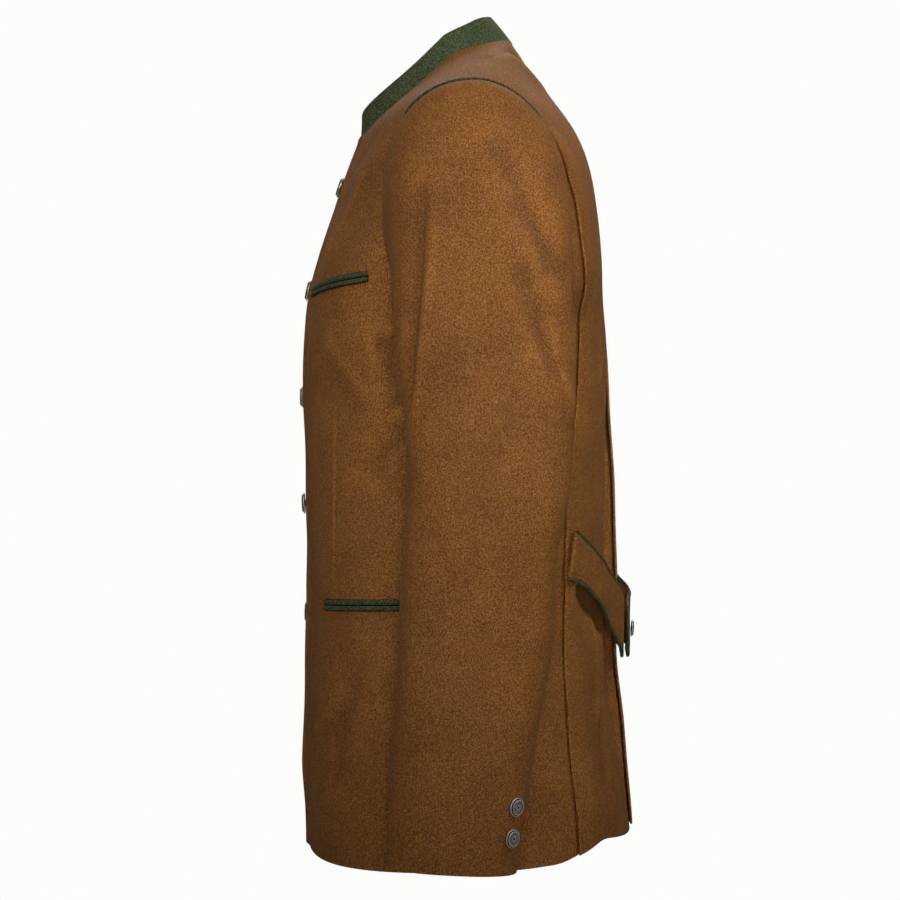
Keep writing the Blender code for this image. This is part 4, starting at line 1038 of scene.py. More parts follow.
levels = panel_levels("back")
rows = levels[:, None]
beside = levels[levels < SIDE_TOP]
folded = np.where(rows < PLEAT_END, OPEN_EDGE, SEWN_EDGE)
slit = np.where(rows < 1, OPEN_EDGE, SEWN_EDGE)
for side_name, right in SIDES:
    form = "right_back" if right else "back"
    fold = pleat_length(form, levels)
    columns = stretched(centre_opening(levels), fold, STEP, NEAR_EDGE)
    base, normals = on_form(form, rows, columns)
    over = ease(columns, fold[:, None] - PLEAT_BACK, fold[:, None] - TUCK) * (1 - ease(rows, *PLEAT_FADE))
    radii = (slit, folded, OPEN_EDGE, SEWN_EDGE)
    cloth_piece(f"back_{side_name}", base, normals, "trunk", right, radii, LAP * over)

    seam = total(form, beside)
    fold = np.minimum(pleat_length(form, beside), seam - LEAST_SIDE)
    base, normals = on_form(form, beside[:, None], stretched(fold - TUCK, seam, STEP, NEAR_EDGE))
    radii = (SEWN_EDGE, SEWN_EDGE, OPEN_EDGE, SEWN_EDGE)
    cloth_piece(f"side_{side_name}", base, normals, "trunk", right, radii)

# The underlay follows the left back, and ramps up behind the centre to the prouder right one.
levels = spaced(0.0, UNDERLAY_TOP, STEP / UNDER_ARM, HEM_LEVELS)
reach = np.concatenate([spaced(LEFT_EDGE, RAMP[0] - RAMP_STEP, STEP, NEAR_EDGE),
                        np.linspace(RAMP[0], RAMP[1] + RAMP_STEP, 10),
                        spaced(RAMP[1] + 2 * RAMP_STEP, UNDERLAY, STEP, NEAR_EDGE)])
near, normals = on_form("back", levels[:, None], np.abs(reach)[None])
far, _ = on_form("right_back", levels[:, None], np.abs(reach)[None])
share = (1 - ease(reach, *RAMP))[None, :, None]
sides = np.where(reach[:, None] < 0, MIRROR, 1.0)
base = (near * (1 - share) + far * share) * sides
radii = (SEWN_EDGE, SEWN_EDGE, OPEN_EDGE, SEWN_EDGE)
cloth_piece("back_pleat", base, normals * sides, "trunk", False, radii, -LAP)

# %% [markdown]
# ## The sleeves
# Two pieces make each sleeve, the upper one outside and the under one against the body, and their seams run
# down the front and the back of the arm. Both are patches of the sleeve's form between two angles. They
# could be one tube with a painted line, but a real seam is where two rounded edges meet, and so is this one.
# The pieces overlap by a tenth of a millimetre, so that no light comes through.

# %% Make the sleeves
SEAM_OVERLAP = 0.12  # degrees
SLEEVE_STEP, TURN_STEP, NEAR_SEAM = 0.0032, 2.3, 0.9  # metres down the sleeve, and degrees round it
HEAD, ARM = 0.13, SLEEVE_TOP - SLEEVE_END  # lengths down the sleeve's middle
FRONT_SEAM, BACK_SEAM = 180.0 + (SHOULDER_ANGLE - 180.0) / 3, -96.0  # degrees on the armhole
head = spaced(0.0, 1.0, SLEEVE_STEP / HEAD, NEAR_EDGE / HEAD)
arm = spaced(1.0, 2.0, SLEEVE_STEP / ARM, NEAR_EDGE / ARM)
down = np.concatenate([head[:-4], arm[4:]])  # with no closer points where the two meet
for side_name, right in SIDES:
    for cut, first, last in (("upper", BACK_SEAM, FRONT_SEAM), ("under", FRONT_SEAM, BACK_SEAM + 360.0)):
        angles = spaced(first - SEAM_OVERLAP, last + SEAM_OVERLAP, TURN_STEP, NEAR_SEAM)
        base, normals = on_sleeve(angles[None], down[:, None])
        radii = (SEWN_EDGE, SEWN_EDGE, SEWN_EDGE, OPEN_EDGE)
        cloth_piece(f"sleeve_{cut}_{side_name}", base, normals, "sleeve", right, radii)

# %% [markdown]
# ## Cords, lips and stitches
# Piping is a strip of green cloth folded round a cord and caught in a seam, so that only the cord shows. A
# piped pocket has two such lips with the opening between them. All of these are one shape: an ellipse
# carried along a path on the cloth. The ends close over half a dozen rings, as a sewn-in end does, where a
# plain cylinder would show a cut face.

# %% An ellipse carried along a path
END_SHARES = np.sin(np.linspace(0, math.pi / 2, 6))  # the rounding of a rod's end, seen along its axis


LEAST_RING = 0.0004  # the square of the last ring's size, next to the point that closes the rod


def full_turn(count):
    """Angles once round, for the second axis of rings of points."""
    return np.linspace(0, 2 * math.pi, count, endpoint=False)[None, :, None]


def rod_rings(path, sideways, outwards, half_side, half_out, turns=14, end=None):
    """Rings path + a s cos(u) sideways + b s sin(u) outwards, where a and b are the half widths, and s goes
    to 0 over the last stretch e at both ends as sqrt(1 - (1 - d / e)²). Without an end, e is a."""
    gone = lengths_of(path)
    near = np.minimum(gone, gone[-1] - gone) / (end or half_side)
    shrink = np.sqrt(np.clip(1 - np.clip(1 - near, 0, 1) ** 2, LEAST_RING, 1))[:, None, None]
    turn = full_turn(turns)
    ring = half_side * np.cos(turn) * sideways[:, None] + half_out * np.sin(turn) * outwards[:, None]
    return path[:, None] + shrink * ring


def numbered(rings):
    """The number of each point of the rings, when the points are listed ring by ring."""
    return np.arange(rings.shape[0] * rings.shape[1]).reshape(rings.shape[:2])


def between_rings(place):
    """The quads between neighbouring rings of numbered points, each ring closed on itself."""
    ahead = np.roll(place, -1, axis=1)
    return np.stack([place[:-1], ahead[:-1], ahead[1:], place[1:]], axis=-1).reshape(-1, 4)


def fan(ring, middle):
    """The triangles from a closed ring of numbered points to one point."""
    return np.stack([ring, np.roll(ring, -1), np.full(len(ring), middle)], axis=-1)


def rod_mesh(rings):
    """Vertices and faces of a closed rod from its rings, with a point at both ends."""
    place = numbered(rings)
    low, high = fan(place[0], place.size)[:, [1, 0, 2]], fan(place[-1], place.size + 1)
    ends = np.array([rings[0].mean(axis=0), rings[-1].mean(axis=0)])
    return np.concatenate([rings.reshape(-1, 3), ends]), [between_rings(place), low, high]


def outward(vertices, faces):
    """Turns the faces round if the closed mesh is inside out: the sum of its signed volumes tells."""
    fans = [group[:, [0, i, i + 1]] for group in faces for i in range(1, group.shape[1] - 1)]
    a, b, c = (vertices[np.concatenate(fans)[:, k]] for k in range(3))
    inside_out = (np.cross(a - vertices[0], b - vertices[0]) * (c - vertices[0])).sum() < 0
    return [group[:, ::-1] for group in faces] if inside_out else faces


def joined(parts):
    """Several closed meshes, each with vertices and faces numbered from 0, as one."""
    vertices, faces, first = [], [], 0
    for points, groups in parts:
        vertices.append(points)
        faces.extend(group + first for group in outward(points, groups))
        first += len(points)
    return np.concatenate(vertices), faces


def green_cord(name, stands_for, rings):
    """A rod of green loden that takes the place of a CAD node."""
    vertices, faces = rod_mesh(rings)
    made = new_piece(name, vertices, outward(vertices, faces), green, "green_loden")
    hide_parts(stands_for)


def close_path(points, step, near):
    """A path with even steps and closer ones over the last stretch at both ends, for the rounding."""
    length = lengths_of(points)[-1]
    path = smooth_line(points, max(int(length / step), 4) * 4)
    gone = lengths_of(path)
    at = np.concatenate([near * (1 - END_SHARES[::-1]), np.arange(2 * near, gone[-1] - 2 * near, step),
                         gone[-1] - near * (1 - END_SHARES)])
    return resampled(at, gone, path)


def frame_of(path, normals):
    """Unit vectors across a path on a surface with these normals, and straight out from both."""
    along = unit(np.gradient(path, axis=0))
    across = unit(np.cross(normals, along))
    return across, unit(np.cross(along, across))


# %% [markdown]
# ## Pockets
# The chest pocket and both hip pockets are piped: two rolled lips of green loden, 4 and 5 mm high. Between
# them the eye looks into the pocket, which is dark. The lips lie on the front, so their path is a line on
# the form, lifted as the cloth under it is. The chest pocket is on the wearer's left only.
# The dark in each mouth and round its lips is painted shade: a near-black strip under the lips.

# %% Make the pocket lips and the dark mouths
TRIM, TRIM_GAP, TRIM_FULL = 0.0016, 0.0007, 0.0005  # the CAD's lip, its gap, and how much fuller this is
LIP_END = 0.0007  # the rounding of a lip's end, which is sewn down square
LIP_STEP = 0.0016
LIP_WAVES = (0.00015, 210.0, 0.0), (0.00010, 467.0, 1.0)
MOUTH = 0.0006  # how thick the strip of painted shade is, and how far it lies over the cloth
POCKETS = (
    ("name", "start", "end", "start_level", "end_level", "bow", "height", "slit"),
    ("chest_pocket", 0.068, 0.1915, 1.082, 1.136, 0.008, 0.0037, 0.0010),
    ("hip_pocket_left", 0.118, 0.270, 0.470, 0.488, 0.000, 0.0038, 0.0010),
    ("hip_pocket_right", 0.118, 0.270, 0.470, 0.488, 0.000, 0.0038, 0.0010),
)


def on_cloth(form, level, length, right=False, over=0.0):
    """Points and normals on the outer face of the lifted cloth, on the side asked for."""
    base, normals = on_form(form, level, length)
    points = base + normals * (over + lift("trunk", base, normals, right))[..., None]
    return points * turned(right), normals * turned(right)


def wavering(along, waves):
    """The sum of height * sin(rate * along + start) over a few waves, because no sewn line is straight."""
    return sum(height * np.sin(along * rate + start) for height, rate, start in waves)


DITCH_EDGE = 0.0007  # how far the strip of painted shade shows round the lips, as the shade of the ditch they are sewn in
mouths = []
for name, start, end, start_level, end_level, bow, height, slit in POCKETS[1:]:
    right = name.endswith("right")
    share = np.linspace(0, 1, 90)
    level = start_level + (end_level - start_level) * share - 4 * bow * share * (1 - share)
    centre, normals = on_cloth("front", level, start + (end - start) * share, right)
    path = close_path(centre, LIP_STEP, LIP_END)
    gone = lengths_of(path)
    up, out = frame_of(path, unit(resampled(gone, lengths_of(centre), normals)))
    up = up * np.sign(up[0, 2])
    roll = wavering(gone, LIP_WAVES)
    for lip, sign in (("upper", 1), ("lower", -1)):
        middle = path + up * (sign * (slit + height) / 2) + out * (TRIM_GAP + TRIM / 2 + roll)[:, None]
        rings = rod_rings(middle, up, out, height / 2, TRIM / 2 + TRIM_FULL, end=LIP_END)
        green_cord(f"{name}_{lip}_lip", f"{name}_{lip}", rings)
    # A near-black strip under both lips, a little wider than them: painted shade in the mouth and round the
    # lips.
    half_width = slit / 2 + height + DITCH_EDGE
    mouths.append(rod_mesh(rod_rings(path + out * MOUTH, up, out, half_width, MOUTH, 10, LIP_END)))
vertices, faces = joined(mouths)
new_piece("painted_pocket_shade", vertices, faces, pocket_shade, "green_loden")
print("three piped pockets, the longest", round(float(gone[-1]) * 1000), "mm")

# %% [markdown]
# ## Buttonholes
# Each front button passes through a hole worked in the upper front. It starts at the shank and runs away
# from the edge, and its sides are covered with close stitches of a thread one shade darker than the cloth.
# At this scale the stitches make a fine ribbed cord round a slit.

# %% Work the buttonholes
FRONT_BUTTON_HEIGHTS = (-0.1120, -0.2054, -0.3008, -0.3970, -0.4960)
HOLE_START, HOLE_END, HOLE_HALF = 0.0030, 0.0205, 0.0011
STITCH, RIB = 0.00055, 0.16  # the stitches' half width, and how much each second one is thinner
SLIT, SLIT_DEEP = 0.0007, 0.0002  # half the slit's width, and the thickness of the strip of painted shade in it
RISE = 0.002  # a short step in height


def front_level(z):
    """The level of the front's centre at a height."""
    under = (z - HEM["front"]) / (ARMPIT_CENTRE - HEM["front"])
    over = 1 + NECK_SHARE["front"] * (z - ARMPIT_CENTRE) / (CENTRE_TOP["front"] - ARMPIT_CENTRE)
    return under if z < ARMPIT_CENTRE else over


def loop_round(start, end, half, count=120):
    """A stadium in the plane: two straight sides and two half circles, as pairs (along, up)."""
    first, last, turn = start + half, end - half, math.pi * half
    straight = end - start - 2 * half
    at = np.linspace(0, 2 * straight + 2 * turn, count, endpoint=False)
    bend, back = at - straight, at - straight - turn
    over = back - straight
    stretch = [at < straight, bend < turn, back < straight]
    along = [first + at, last + half * np.sin(bend / half), last - back]
    up = [np.full(count, -half), -half * np.cos(bend / half), np.full(count, half)]
    return (np.select(stretch, along, first - half * np.sin(over / half)),
            np.select(stretch, up, half * np.cos(over / half)))


def ring_mesh(rings):
    """A closed ring's vertices and faces: both directions of the grid go round."""
    place = numbered(rings)
    return rings.reshape(-1, 3), [between_rings(np.vstack([place, place[:1]]))]


stitched, slits = [], []
around, up = loop_round(HOLE_START, HOLE_END, HOLE_HALF)
along, turn = np.linspace(HOLE_START, HOLE_END, 24), full_turn(10)
for height in FRONT_BUTTON_HEIGHTS:
    level = front_level(height)
    step = (front_level(height + RISE) - front_level(height - RISE)) / (2 * RISE)
    path, normals = on_cloth("front", level + up * step, around, over=lap_over(level, around))
    across = np.cross(unit(np.roll(path, -1, axis=0) - np.roll(path, 1, axis=0)), normals)
    ribs = STITCH * (1 + RIB * np.cos(np.arange(len(path)) * math.pi))[:, None, None]
    rings = path[:, None] + ribs * (np.cos(turn) * across[:, None] + np.sin(turn) * normals[:, None])
    stitched.append(ring_mesh(rings))
    # Each slit holds a near-black strip: painted shade.
    middle, out = on_cloth("front", level, along, over=lap_over(level, along))
    slits.append(rod_mesh(rod_rings(middle, frame_of(middle, out)[0], out, SLIT, SLIT_DEEP, 8)))
new_piece("buttonhole_thread", *joined(stitched), brown_thread, "brown_loden")
new_piece("buttonhole_slit_shade", *joined(slits), pocket_shade, "brown_loden")
print(len(stitched), "buttonholes")

# %% [markdown]
# ## The armhole piping
# A green cord lies in the seam over the top of each armhole, from the chest to the shoulder blade, and dips
# into the seam at both ends. It sits in the corner between the panels and the sleeve head, so it goes out
# along the direction half way between their normals.

# %% Make the armhole piping
PIPING_RADIUS, PIPING_REACH = 0.0011, 47.0  # metres, and degrees each way from the armhole's top
DIP, DIP_REACH = 0.0016, 7  # how far its ends go into the seam, over how many degrees
PRESSED = 0.0004  # how far the whole cord sinks into the seam
EVENED = 6  # places to each side over which its direction is averaged


def armhole_levels(part, angles):
    """The levels whose rows end at these angles of the armhole."""
    shares = np.linspace(0, 1, 801)
    known = read(YOKES[part], "armhole", shares)
    order = np.argsort(known)
    return 1 + np.interp(angles, known[order], shares[order])


angles = np.linspace(-PIPING_REACH, PIPING_REACH, 150)
front_side = angles > SHOULDER_ANGLE
level = np.where(front_side, armhole_levels("front", angles), armhole_levels("back", angles + 360))
trunk_normals = np.where(front_side[:, None], on_form("front", level, total("front", level))[1],
                         on_form("back", level, total("back", level))[1])
sleeve_normals = on_sleeve(angles, np.zeros_like(angles))[1]
between = unit(trunk_normals + sleeve_normals)
kernel = np.full(2 * EVENED + 1, 1 / (2 * EVENED + 1))
between = [np.convolve(np.pad(column, EVENED, "edge"), kernel, "valid") for column in between.T]
between = unit(np.stack(between, axis=1))
stand = (PIPING_RADIUS + SEAM_GAP) / (between * sleeve_normals).sum(axis=1, keepdims=True)
sunk = DIP * (1 - ease(PIPING_REACH - np.abs(angles), 0, DIP_REACH))[:, None]
path = armhole_point(angles) + np.array([SEAM_GAP, 0, 0]) + between * (stand - PRESSED - sunk)
rings = rod_rings(path, *frame_of(path, between), PIPING_RADIUS, PIPING_RADIUS)
for side_name, right in SIDES:
    green_cord(f"armhole_cord_{side_name}", f"armhole_piping_{side_name}", rings * turned(right))
print("armhole cords", round(float(lengths_of(path)[-1]) * 1000), "mm long")

# %% [markdown]
# ## The stand collar
# Two layers of green loden with interlining make a band, 22 mm high in front and 29 mm behind, which leans
# in with the neck. Its ends are rounded off above the top button, and its foot starts just inside the
# neckline, as it is sewn in. The lean is given by turn round the neck, from the centre front to the centre
# back. Pressed wool is never quite flat, so the band bulges 0.6 mm and its top edge wavers.

# %% Make the collar
COLLAR_FOOT = -0.05  # the collar starts this share of its height inside the seam
COLLAR_CORNER, COLLAR_END, COLLAR_TOP = 0.007, 0.0015, 0.0016  # the radii of its corners, ends and top
COLLAR_CUT = 0.0235  # how wide the band is cut
COLLAR_WAVES = (0.0004, 5, 0.7), (0.0003, 11, 2.1)
BULGE = 0.0006
COLLAR_STEP, NEAR_COLLAR_EDGE = 0.09, 0.07  # shares of its height
NEAR_END = np.array([0.1, 0.4, 0.9, 1.5, 2.2, 3.1, 4.2, 5.4, 6.8])  # degrees from an end, ever wider
BACK_STEP, TURN_POINTS = 1.2, 126  # degrees beside the centre back, and the points from an end to there


def collar_points(turns, shares):
    """The seam of the neckline plus a share of the leaning height, which is cut back by a quarter circle
    at the ends."""
    turn = np.abs(turns)
    over_back = turn > 90
    seam = np.where(over_back[:, None], neckline_point("back", 180 - turn), neckline_point("front", turn))
    inward, forward, upward = (read(COLLAR, name, turn) for name in COLLAR[0][1:])
    lean = places(-inward, -forward, upward)
    height = np.linalg.norm(lean, axis=1)
    end = np.linalg.norm(seam - neckline_point("front", NECK_START), axis=1)
    gone = np.where(over_back, 0, np.maximum(COLLAR_CORNER - end, 0))
    lost = (COLLAR_CORNER - np.sqrt(COLLAR_CORNER**2 - gone**2)) / height
    share = COLLAR_FOOT + (1 - lost - COLLAR_FOOT) * shares[:, None]
    points = seam + lean * share[..., None]
    return points * np.where(turns[:, None] < 0, MIRROR, 1.0)


even = np.linspace(NECK_START + NEAR_END[-1], 180.0 - BACK_STEP, TURN_POINTS)
half = np.concatenate([NECK_START + NEAR_END[:-1], even])
turns = np.concatenate([half, [180.0], -half[::-1]])
shares = spaced(0.0, 1.0, COLLAR_STEP, NEAR_COLLAR_EDGE)
base = collar_points(turns, shares)
along = np.gradient(base, axis=1)
normals = unit(np.cross(along, np.gradient(base, axis=0)))
normals = normals * -np.sign(normals[0, 5, 1])  # the front ends face forward
waver = wavering(np.radians(turns), COLLAR_WAVES)
bulge = BULGE * np.sin(math.pi * shares)[:, None] + waver[None] * shares[:, None]
radii = (COLLAR_END, COLLAR_END, SEWN_EDGE, COLLAR_TOP)
vertices, faces = wall(base + normals * bulge[..., None], normals, DOUBLED, radii)
collar = new_piece("collar_cloth", vertices, [faces], green, "green_loden")
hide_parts("collar")
SHEETS[collar.name] = (area_of(base), (float(lengths_of(base)[:, -1].max()), COLLAR_CUT))
print("collar", round(float(lengths_of(base)[0, -1]) * 1000), "mm round the neck")

# %% [markdown]
# ## The back belt
# A half belt goes from each action pleat to the centre, where the right half laps over the left one and is
# buttoned. It gathers the back a little, so the right half stands off the cloth. Each half is two layers
# of loden with green piping in its edges, and the layers press in along the piping's seam. Its section is
# flat in the middle and falls off at the rims.

# %% Make the belt halves and their piping
BELT_CORD = 0.0016  # the radius of its piping
BELT_TIP, TIP_LENGTH = 0.62, 0.0103  # the share of the width left at the very end, and how soon it narrows
BELT_EDGE, RIM_FALL, RIM_REACH = 0.0015, 0.0004, 0.006  # the rim's radius, its fall and how far in it starts
DITCH, DITCH_DEPTH, DITCH_WIDTH = 0.0034, 0.00055, 0.0005  # the pressed line: its place, depth and width
BELT_WAVES = (0.00035, 95, 0.8), (0.00020, 203, 0.0)
PIPING_TUCK, END_STEPS = 0.0001, 12  # how far the cord goes into the rim, and its steps across the end
PAST_END = 0.9  # how far out it lies there, as a share of its distance from the rims
NEAR_RIM = np.array([0, 0.2, 0.6, 1.2, 1.8, 2.5, 3.0, 3.4, 3.8, 4.3, 5.2, 6.5])[:, None] / 1000


def belt_line(side_name, count):
    """The belt's middle line with its up direction, outward normals and widths."""
    x = np.linspace(BELT[1][0], BELT[-1][0], count)
    y, height, width = (read(BELT, column, x) for column in (side_name + "_y", "height", "width"))
    path = places(x, y, height)
    along = unit(np.gradient(path, axis=0))
    up = unit(np.array([0.0, 0.0, 1.0]) - along * along[:, 2:])
    normals = unit(np.cross(along, up))
    normals = normals * np.sign(normals[:, 1:2])
    tip = np.clip((BELT[-1][0] + TIP_LENGTH - x) / TIP_LENGTH, 0, 1)
    return path, up, normals, width * (1 - (1 - BELT_TIP) * tip)


for side_name, right in SIDES:
    turn = turned(right)
    path, up, normals, width = belt_line(side_name, 110)
    low = NEAR_RIM + 0 * width
    middle = low[-1:] + np.linspace(0, 1, 9)[1:-1, None] * (width - 2 * low[-1:])
    rows = np.concatenate([low, middle, width - low[::-1]])
    inside = np.minimum(rows, width - rows)
    ditch = DITCH_DEPTH * np.exp(-(((inside - DITCH) / DITCH_WIDTH) ** 2))
    crown = -RIM_FALL * (1 - ease(inside, 0.0, RIM_REACH)) - ditch
    ripple = wavering(lengths_of(path), BELT_WAVES)
    base = path + up * (rows - width / 2)[..., None] + normals * (DOUBLED / 2)
    points = base + normals * (crown + ripple)[..., None]
    outs = np.broadcast_to(normals, base.shape)
    radii = (SEWN_EDGE, BELT_EDGE, BELT_EDGE, BELT_EDGE)
    vertices, faces = wall(points * turn, outs * turn, DOUBLED, radii)
    made = new_piece(f"belt_{side_name}_cloth", vertices, [faces], brown, "brown_loden")
    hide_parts(f"belt_{side_name}")
    SHEETS[made.name] = (area_of(base), (float(width.max()), float(lengths_of(path)[-1])))

    # The piping runs out along the upper rim, across the end and back along the lower one.
    stand = BELT_CORD - PIPING_TUCK
    end = unit(np.gradient(path, axis=0))[-1] * stand * PAST_END
    rim = up * (width / 2 + stand)[:, None]
    top, foot = path + rim, path - rim
    line = np.concatenate([top[:-1], np.linspace(top[-1] + end, foot[-1] + end, END_STEPS), foot[-2::-1]])
    out_along = np.arange(len(path) - 1)
    there = np.concatenate([out_along, np.full(END_STEPS, -1), out_along[::-1]])
    line = line + normals[there] * ripple[there, None]
    rings = rod_rings(line, *frame_of(line, normals[there]), BELT_CORD, BELT_CORD)
    green_cord(f"belt_cord_{side_name}", f"belt_piping_{side_name}", rings * turn)
print("belt halves", round(float(lengths_of(path)[-1]) * 1000), "mm long")

# %% [markdown]
# ## Buttons
# The buttons are round, hollow and turned in outline: a bright plate below, a dark groove, and a domed rim
# round a shallow bowl with a boss. Each is a section swept round its axis. The table gives radius, height
# and polish, where 1 is a rubbed edge and 0 a recess that kept its black. Those on the cuffs and the belt
# are a fifth smaller.

# %% Turn the buttons
BUTTON = (
    ("radius", "height", "polish"),
    (0.00000, 0.00000, 0.2),
    (0.00250, 0.00000, 0.2),
    (0.00290, 0.00020, 0.2),
    (0.00310, 0.00060, 0.1),
    (0.00600, 0.00070, 0.2),
    (0.00900, 0.00075, 0.6),
    (0.00938, 0.00095, 0.9),
    (0.00950, 0.00130, 1.0),
    (0.00938, 0.00165, 1.0),
    (0.00900, 0.00188, 0.8),
    (0.00860, 0.00190, 0.1),
    (0.00790, 0.00186, 0.0),
    (0.00780, 0.00225, 0.0),
    (0.00792, 0.00262, 0.1),
    (0.00788, 0.00300, 0.4),
    (0.00760, 0.00328, 0.75),
    (0.00715, 0.00340, 0.7),
    (0.00660, 0.00336, 0.45),
    (0.00610, 0.00312, 0.25),
    (0.00550, 0.00290, 0.35),
    (0.00480, 0.00278, 0.4),
    (0.00400, 0.00276, 0.4),
    (0.00330, 0.00282, 0.3),
    (0.00290, 0.00296, 0.5),
    (0.00250, 0.00308, 0.6),
    (0.00190, 0.00312, 0.6),
    (0.00140, 0.00302, 0.4),
    (0.00110, 0.00272, 0.0),
    (0.00060, 0.00262, 0.0),
    (0.00000, 0.00260, 0.0),
)
TURNS = 72  # steps round a button
BUTTON_GAP, SMALL = 0.0006, 0.80  # how far a button stands off the cloth; the size of the small ones
CUFF_BUTTON_HEIGHTS, CUFF_BUTTON_ANGLE = (-0.6325, -0.6575), -54.0
BELT_BUTTON_PLACE, BELT_BUTTON_NORMAL = np.array([-0.001, 0.1742, -0.5110]), (0.0, 1.0, -0.06)
PROFILE_STEP = 0.004  # a short step in height, to read the front's slope


def button(name, place, normal, scale):
    """Rings radius * (cos u, sin u) at their heights, turned so that the axis lies along the normal."""
    radius, height, polish = (np.array(BUTTON[1:])[:, k] for k in range(3))
    normal = unit(np.asarray(normal, float))
    first = unit(np.cross(normal, [0.0, 0.0, 1.0]))
    second = np.cross(normal, first)
    turn = full_turn(TURNS)
    ring = np.cos(turn) * first + np.sin(turn) * second
    rings = place + scale * (radius[1:-1, None, None] * ring + height[1:-1, None, None] * normal)
    vertices, faces = rod_mesh(rings)
    vertices[-2:] = place + scale * height[[0, -1], None] * normal
    made = new_piece(name + "_turned", vertices, outward(vertices, faces), silver, "buttons")
    mark(made, "polish", np.concatenate([np.repeat(polish[1:-1], TURNS), polish[[0, -1]]]))
    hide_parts(name)


def front_button_place(z):
    """A button on the centre line, out from the upper front's face and its folds."""
    rise = read(PROFILE, "front", z + PROFILE_STEP) - read(PROFILE, "front", z - PROFILE_STEP)
    normal = unit(np.array([0.0, -1.0, float(rise) / (2 * PROFILE_STEP)]))
    middle = places(0.0, float(read(PROFILE, "front", z)), z)
    raised = float(lift("trunk", middle[None, None], normal[None, None])[0, 0])
    return middle + normal * (LAP + BUTTON_GAP + raised), normal


def cuff_button_place(z):
    """A button by the sleeve's back seam, out from the cloth and its folds."""
    down = 1 + (SLEEVE_TOP - z) / (SLEEVE_TOP - SLEEVE_END)
    base, normal = on_sleeve(np.array([[CUFF_BUTTON_ANGLE]]), np.array([[down]]))
    raised = float(lift("sleeve", base, normal)[0, 0])
    return base[0, 0] + normal[0, 0] * (BUTTON_GAP + raised), normal[0, 0]


for number, height in enumerate(FRONT_BUTTON_HEIGHTS, 1):
    button(f"front_button_{number}", *front_button_place(height), 1.0)
for number, height in enumerate(CUFF_BUTTON_HEIGHTS, 1):
    place, normal = cuff_button_place(height)
    button(f"cuff_button_left_{number}", place, normal, SMALL)
    button(f"cuff_button_right_{number}", place * MIRROR, normal * MIRROR, SMALL)
button("belt_button", BELT_BUTTON_PLACE, BELT_BUTTON_NORMAL, SMALL)
print("ten buttons of", TURNS * (len(BUTTON) - 2) * 2, "triangles each")

# %% [markdown]
# ## The cut of each piece
# Each sheet of cloth keeps its area and flat size, as a tailor would mark it on the cloth. The width is
# the longest row of the piece and the length its longest column, and the area is the piece's own, without
# seam allowances. All of them hang from the shoulders, except the belt and the collar.

for name, (area, flat) in SHEETS.items():
    area = min(area, flat[0] * flat[1])  # a band that stands round the neck measures a little over its cut
print(len(SHEETS), "sheets of cloth,", round(sum(area for area, _ in SHEETS.values()), 2), "m² in all")

# %% [markdown]
# ## The studio
# The jacket hangs in the air as if on an unseen wearer, over a pale floor that curves up into a wall all
# round, the cove of a studio. Six soft boxes light it, most of them from above, so that the shoulders
# catch the light and the hem gets less. A narrow one beside the camera flattens the shade on the sleeve, and
# the one behind and one beyond draw the far edges. A dark room would show a grey floor, and a bright one
# would wash the cloth out. So the paper glows for the camera only: it looks white and lights nothing.

# %% Floor, light and camera
FLOOR, WALL_START, WALL_END, WALL_TOP = -1.45, 3.4, 5.4, 3.4


def cove():
    """A surface of revolution: flat to one radius, then a quarter of an ellipse up to the wall."""
    turn = np.linspace(0, math.pi / 2, 24)[1:]
    flat = np.linspace(0.05, WALL_START, 8)
    radius = np.concatenate([flat, WALL_START + (WALL_END - WALL_START) * np.sin(turn)])[:, None]
    height = np.concatenate([0 * flat, (WALL_TOP - FLOOR) * (1 - np.cos(turn))])[:, None] + FLOOR
    around = full_turn(96)[..., 0]
    rings = places(radius * np.cos(around), radius * np.sin(around), height)
    place = numbered(rings)
    points = np.concatenate([rings.reshape(-1, 3), [[0, 0, FLOOR]]])
    return points, [between_rings(place), fan(place[0], place.size)]


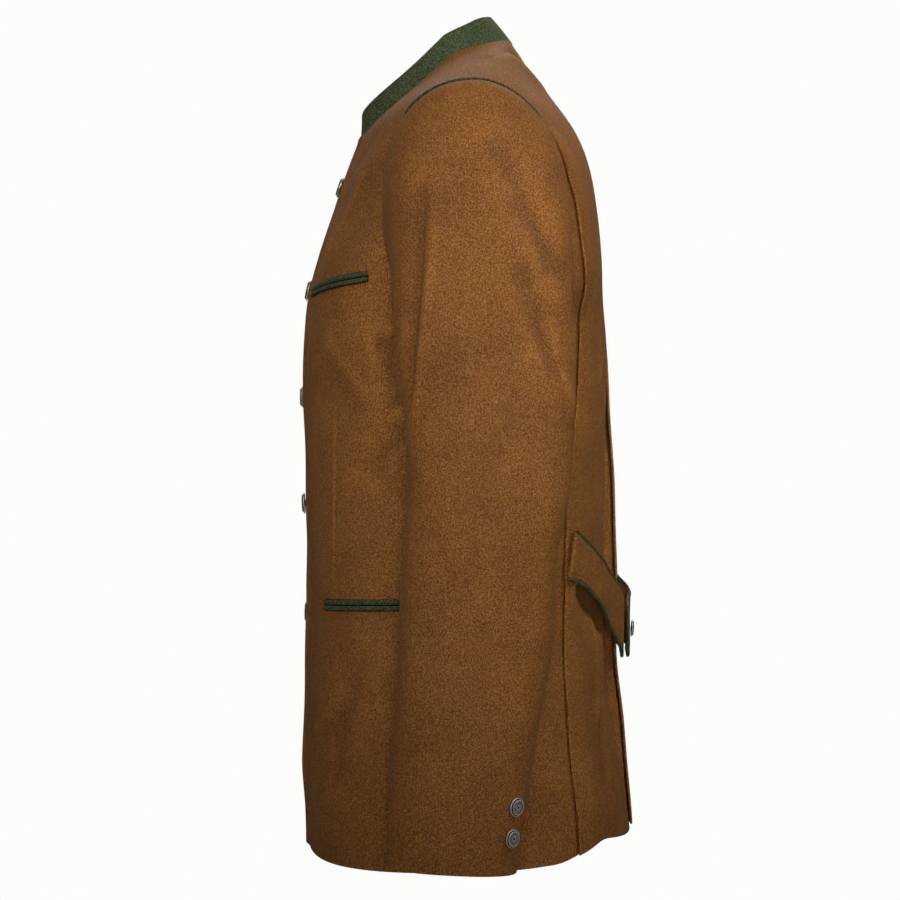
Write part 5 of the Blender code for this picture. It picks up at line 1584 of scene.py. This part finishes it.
paper, tree, shader = blank("studio_paper")
grain = node(tree, "TexNoise", {"Vector": node(tree, "TexCoord").outputs["Object"], "Scale": 3.0})
shade = node(tree, "MapRange", {"Value": grain.outputs["Fac"], "To Min": 0.80, "To Max": 0.84})
tree.links.new(shade.outputs["Result"], shader.inputs["Base Color"])
shader.inputs["Roughness"].default_value = 1.0
shader.inputs["Specular IOR Level"].default_value = 0.0
seen = node(tree, "LightPath").outputs["Is Camera Ray"]
glow = node(tree, "Emission", {"Color": linear("#f7f7f5"), "Strength": 1.05})
lit = node(tree, "MixShader", {0: seen, 1: shader.outputs["BSDF"], 2: glow.outputs["Emission"]})
tree.links.new(lit.outputs["Shader"], tree.nodes["Material Output"].inputs["Surface"])
backdrop = linked("studio_cove", *cove(), paper)
backdrop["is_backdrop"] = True


def softbox(name, place, aim, size, spread, power):
    """A square area light at a place, turned towards the point it lights, with a grid that narrows it."""
    data = bpy.data.lights.new(name, "AREA")
    data.shape, data.size, data.energy, data.spread = "SQUARE", size, power, math.radians(spread)
    lamp = bpy.data.objects.new(name, data)
    lamp.location = place
    lamp.rotation_euler = (Vector(aim) - Vector(place)).to_track_quat("-Z", "Y").to_euler()
    bpy.context.scene.collection.objects.link(lamp)


LIGHTS = (  # places and sizes in metres, the spread in degrees and the power in watts
    ("name", "place", "aim", "size", "spread", "power"),
    ("overhead_softbox", (0.25, 0.10, 1.05), (0.10, 0.03, -0.35), 1.0, 150, 0.95),
    ("side_softbox", (1.35, 0.05, 0.95), (0.20, 0.03, -0.10), 0.8, 90, 0.70),
    ("near_softbox", (2.45, 0.02, -0.20), (0.20, 0.03, -0.22), 0.7, 28, 1.00),
    ("far_softbox", (-1.50, 0.05, 0.80), (-0.20, 0.03, -0.25), 0.9, 100, 4.20),
    ("front_softbox", (0.40, -1.60, 0.75), (0.05, -0.05, -0.10), 0.9, 70, 1.15),
    ("back_softbox", (0.80, 1.40, 0.90), (0.10, 0.10, -0.02), 0.9, 60, 2.25),
)
for light in LIGHTS[1:]:
    softbox(*light)

world = bpy.data.worlds.new("studio_air")
world.use_nodes = True
world.node_tree.nodes["Background"].inputs["Color"].default_value = linear("#f2f4f7")
world.node_tree.nodes["Background"].inputs["Strength"].default_value = 0.02
scene = bpy.context.scene
scene.world = world
scene.view_settings.view_transform = "Standard"

LENS, SENSOR = 101.2, 36.0  # millimetres
CAMERA_PLACE = (2.3, 0.01, -0.349)
lens = bpy.data.cameras.new("side_camera")
lens.lens, lens.sensor_width = LENS, SENSOR
camera = bpy.data.objects.new("side_camera", lens)
camera.location = CAMERA_PLACE
camera.rotation_euler = Vector((-1.0, 0.0, 0.0)).to_track_quat("-Z", "Y").to_euler()
scene.collection.objects.link(camera)
scene.camera = camera
print(len(LIGHTS) - 1, "soft boxes and a camera", CAMERA_PLACE[0], "m from the centre line")

# %% Compare the sizes and finish
fine_box = [list(corner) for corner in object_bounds()]
apart = np.round(np.subtract(fine_box, cad_box) * 1000, 1)
print("the jacket's box is", apart.tolist(), "mm from the CAD's")
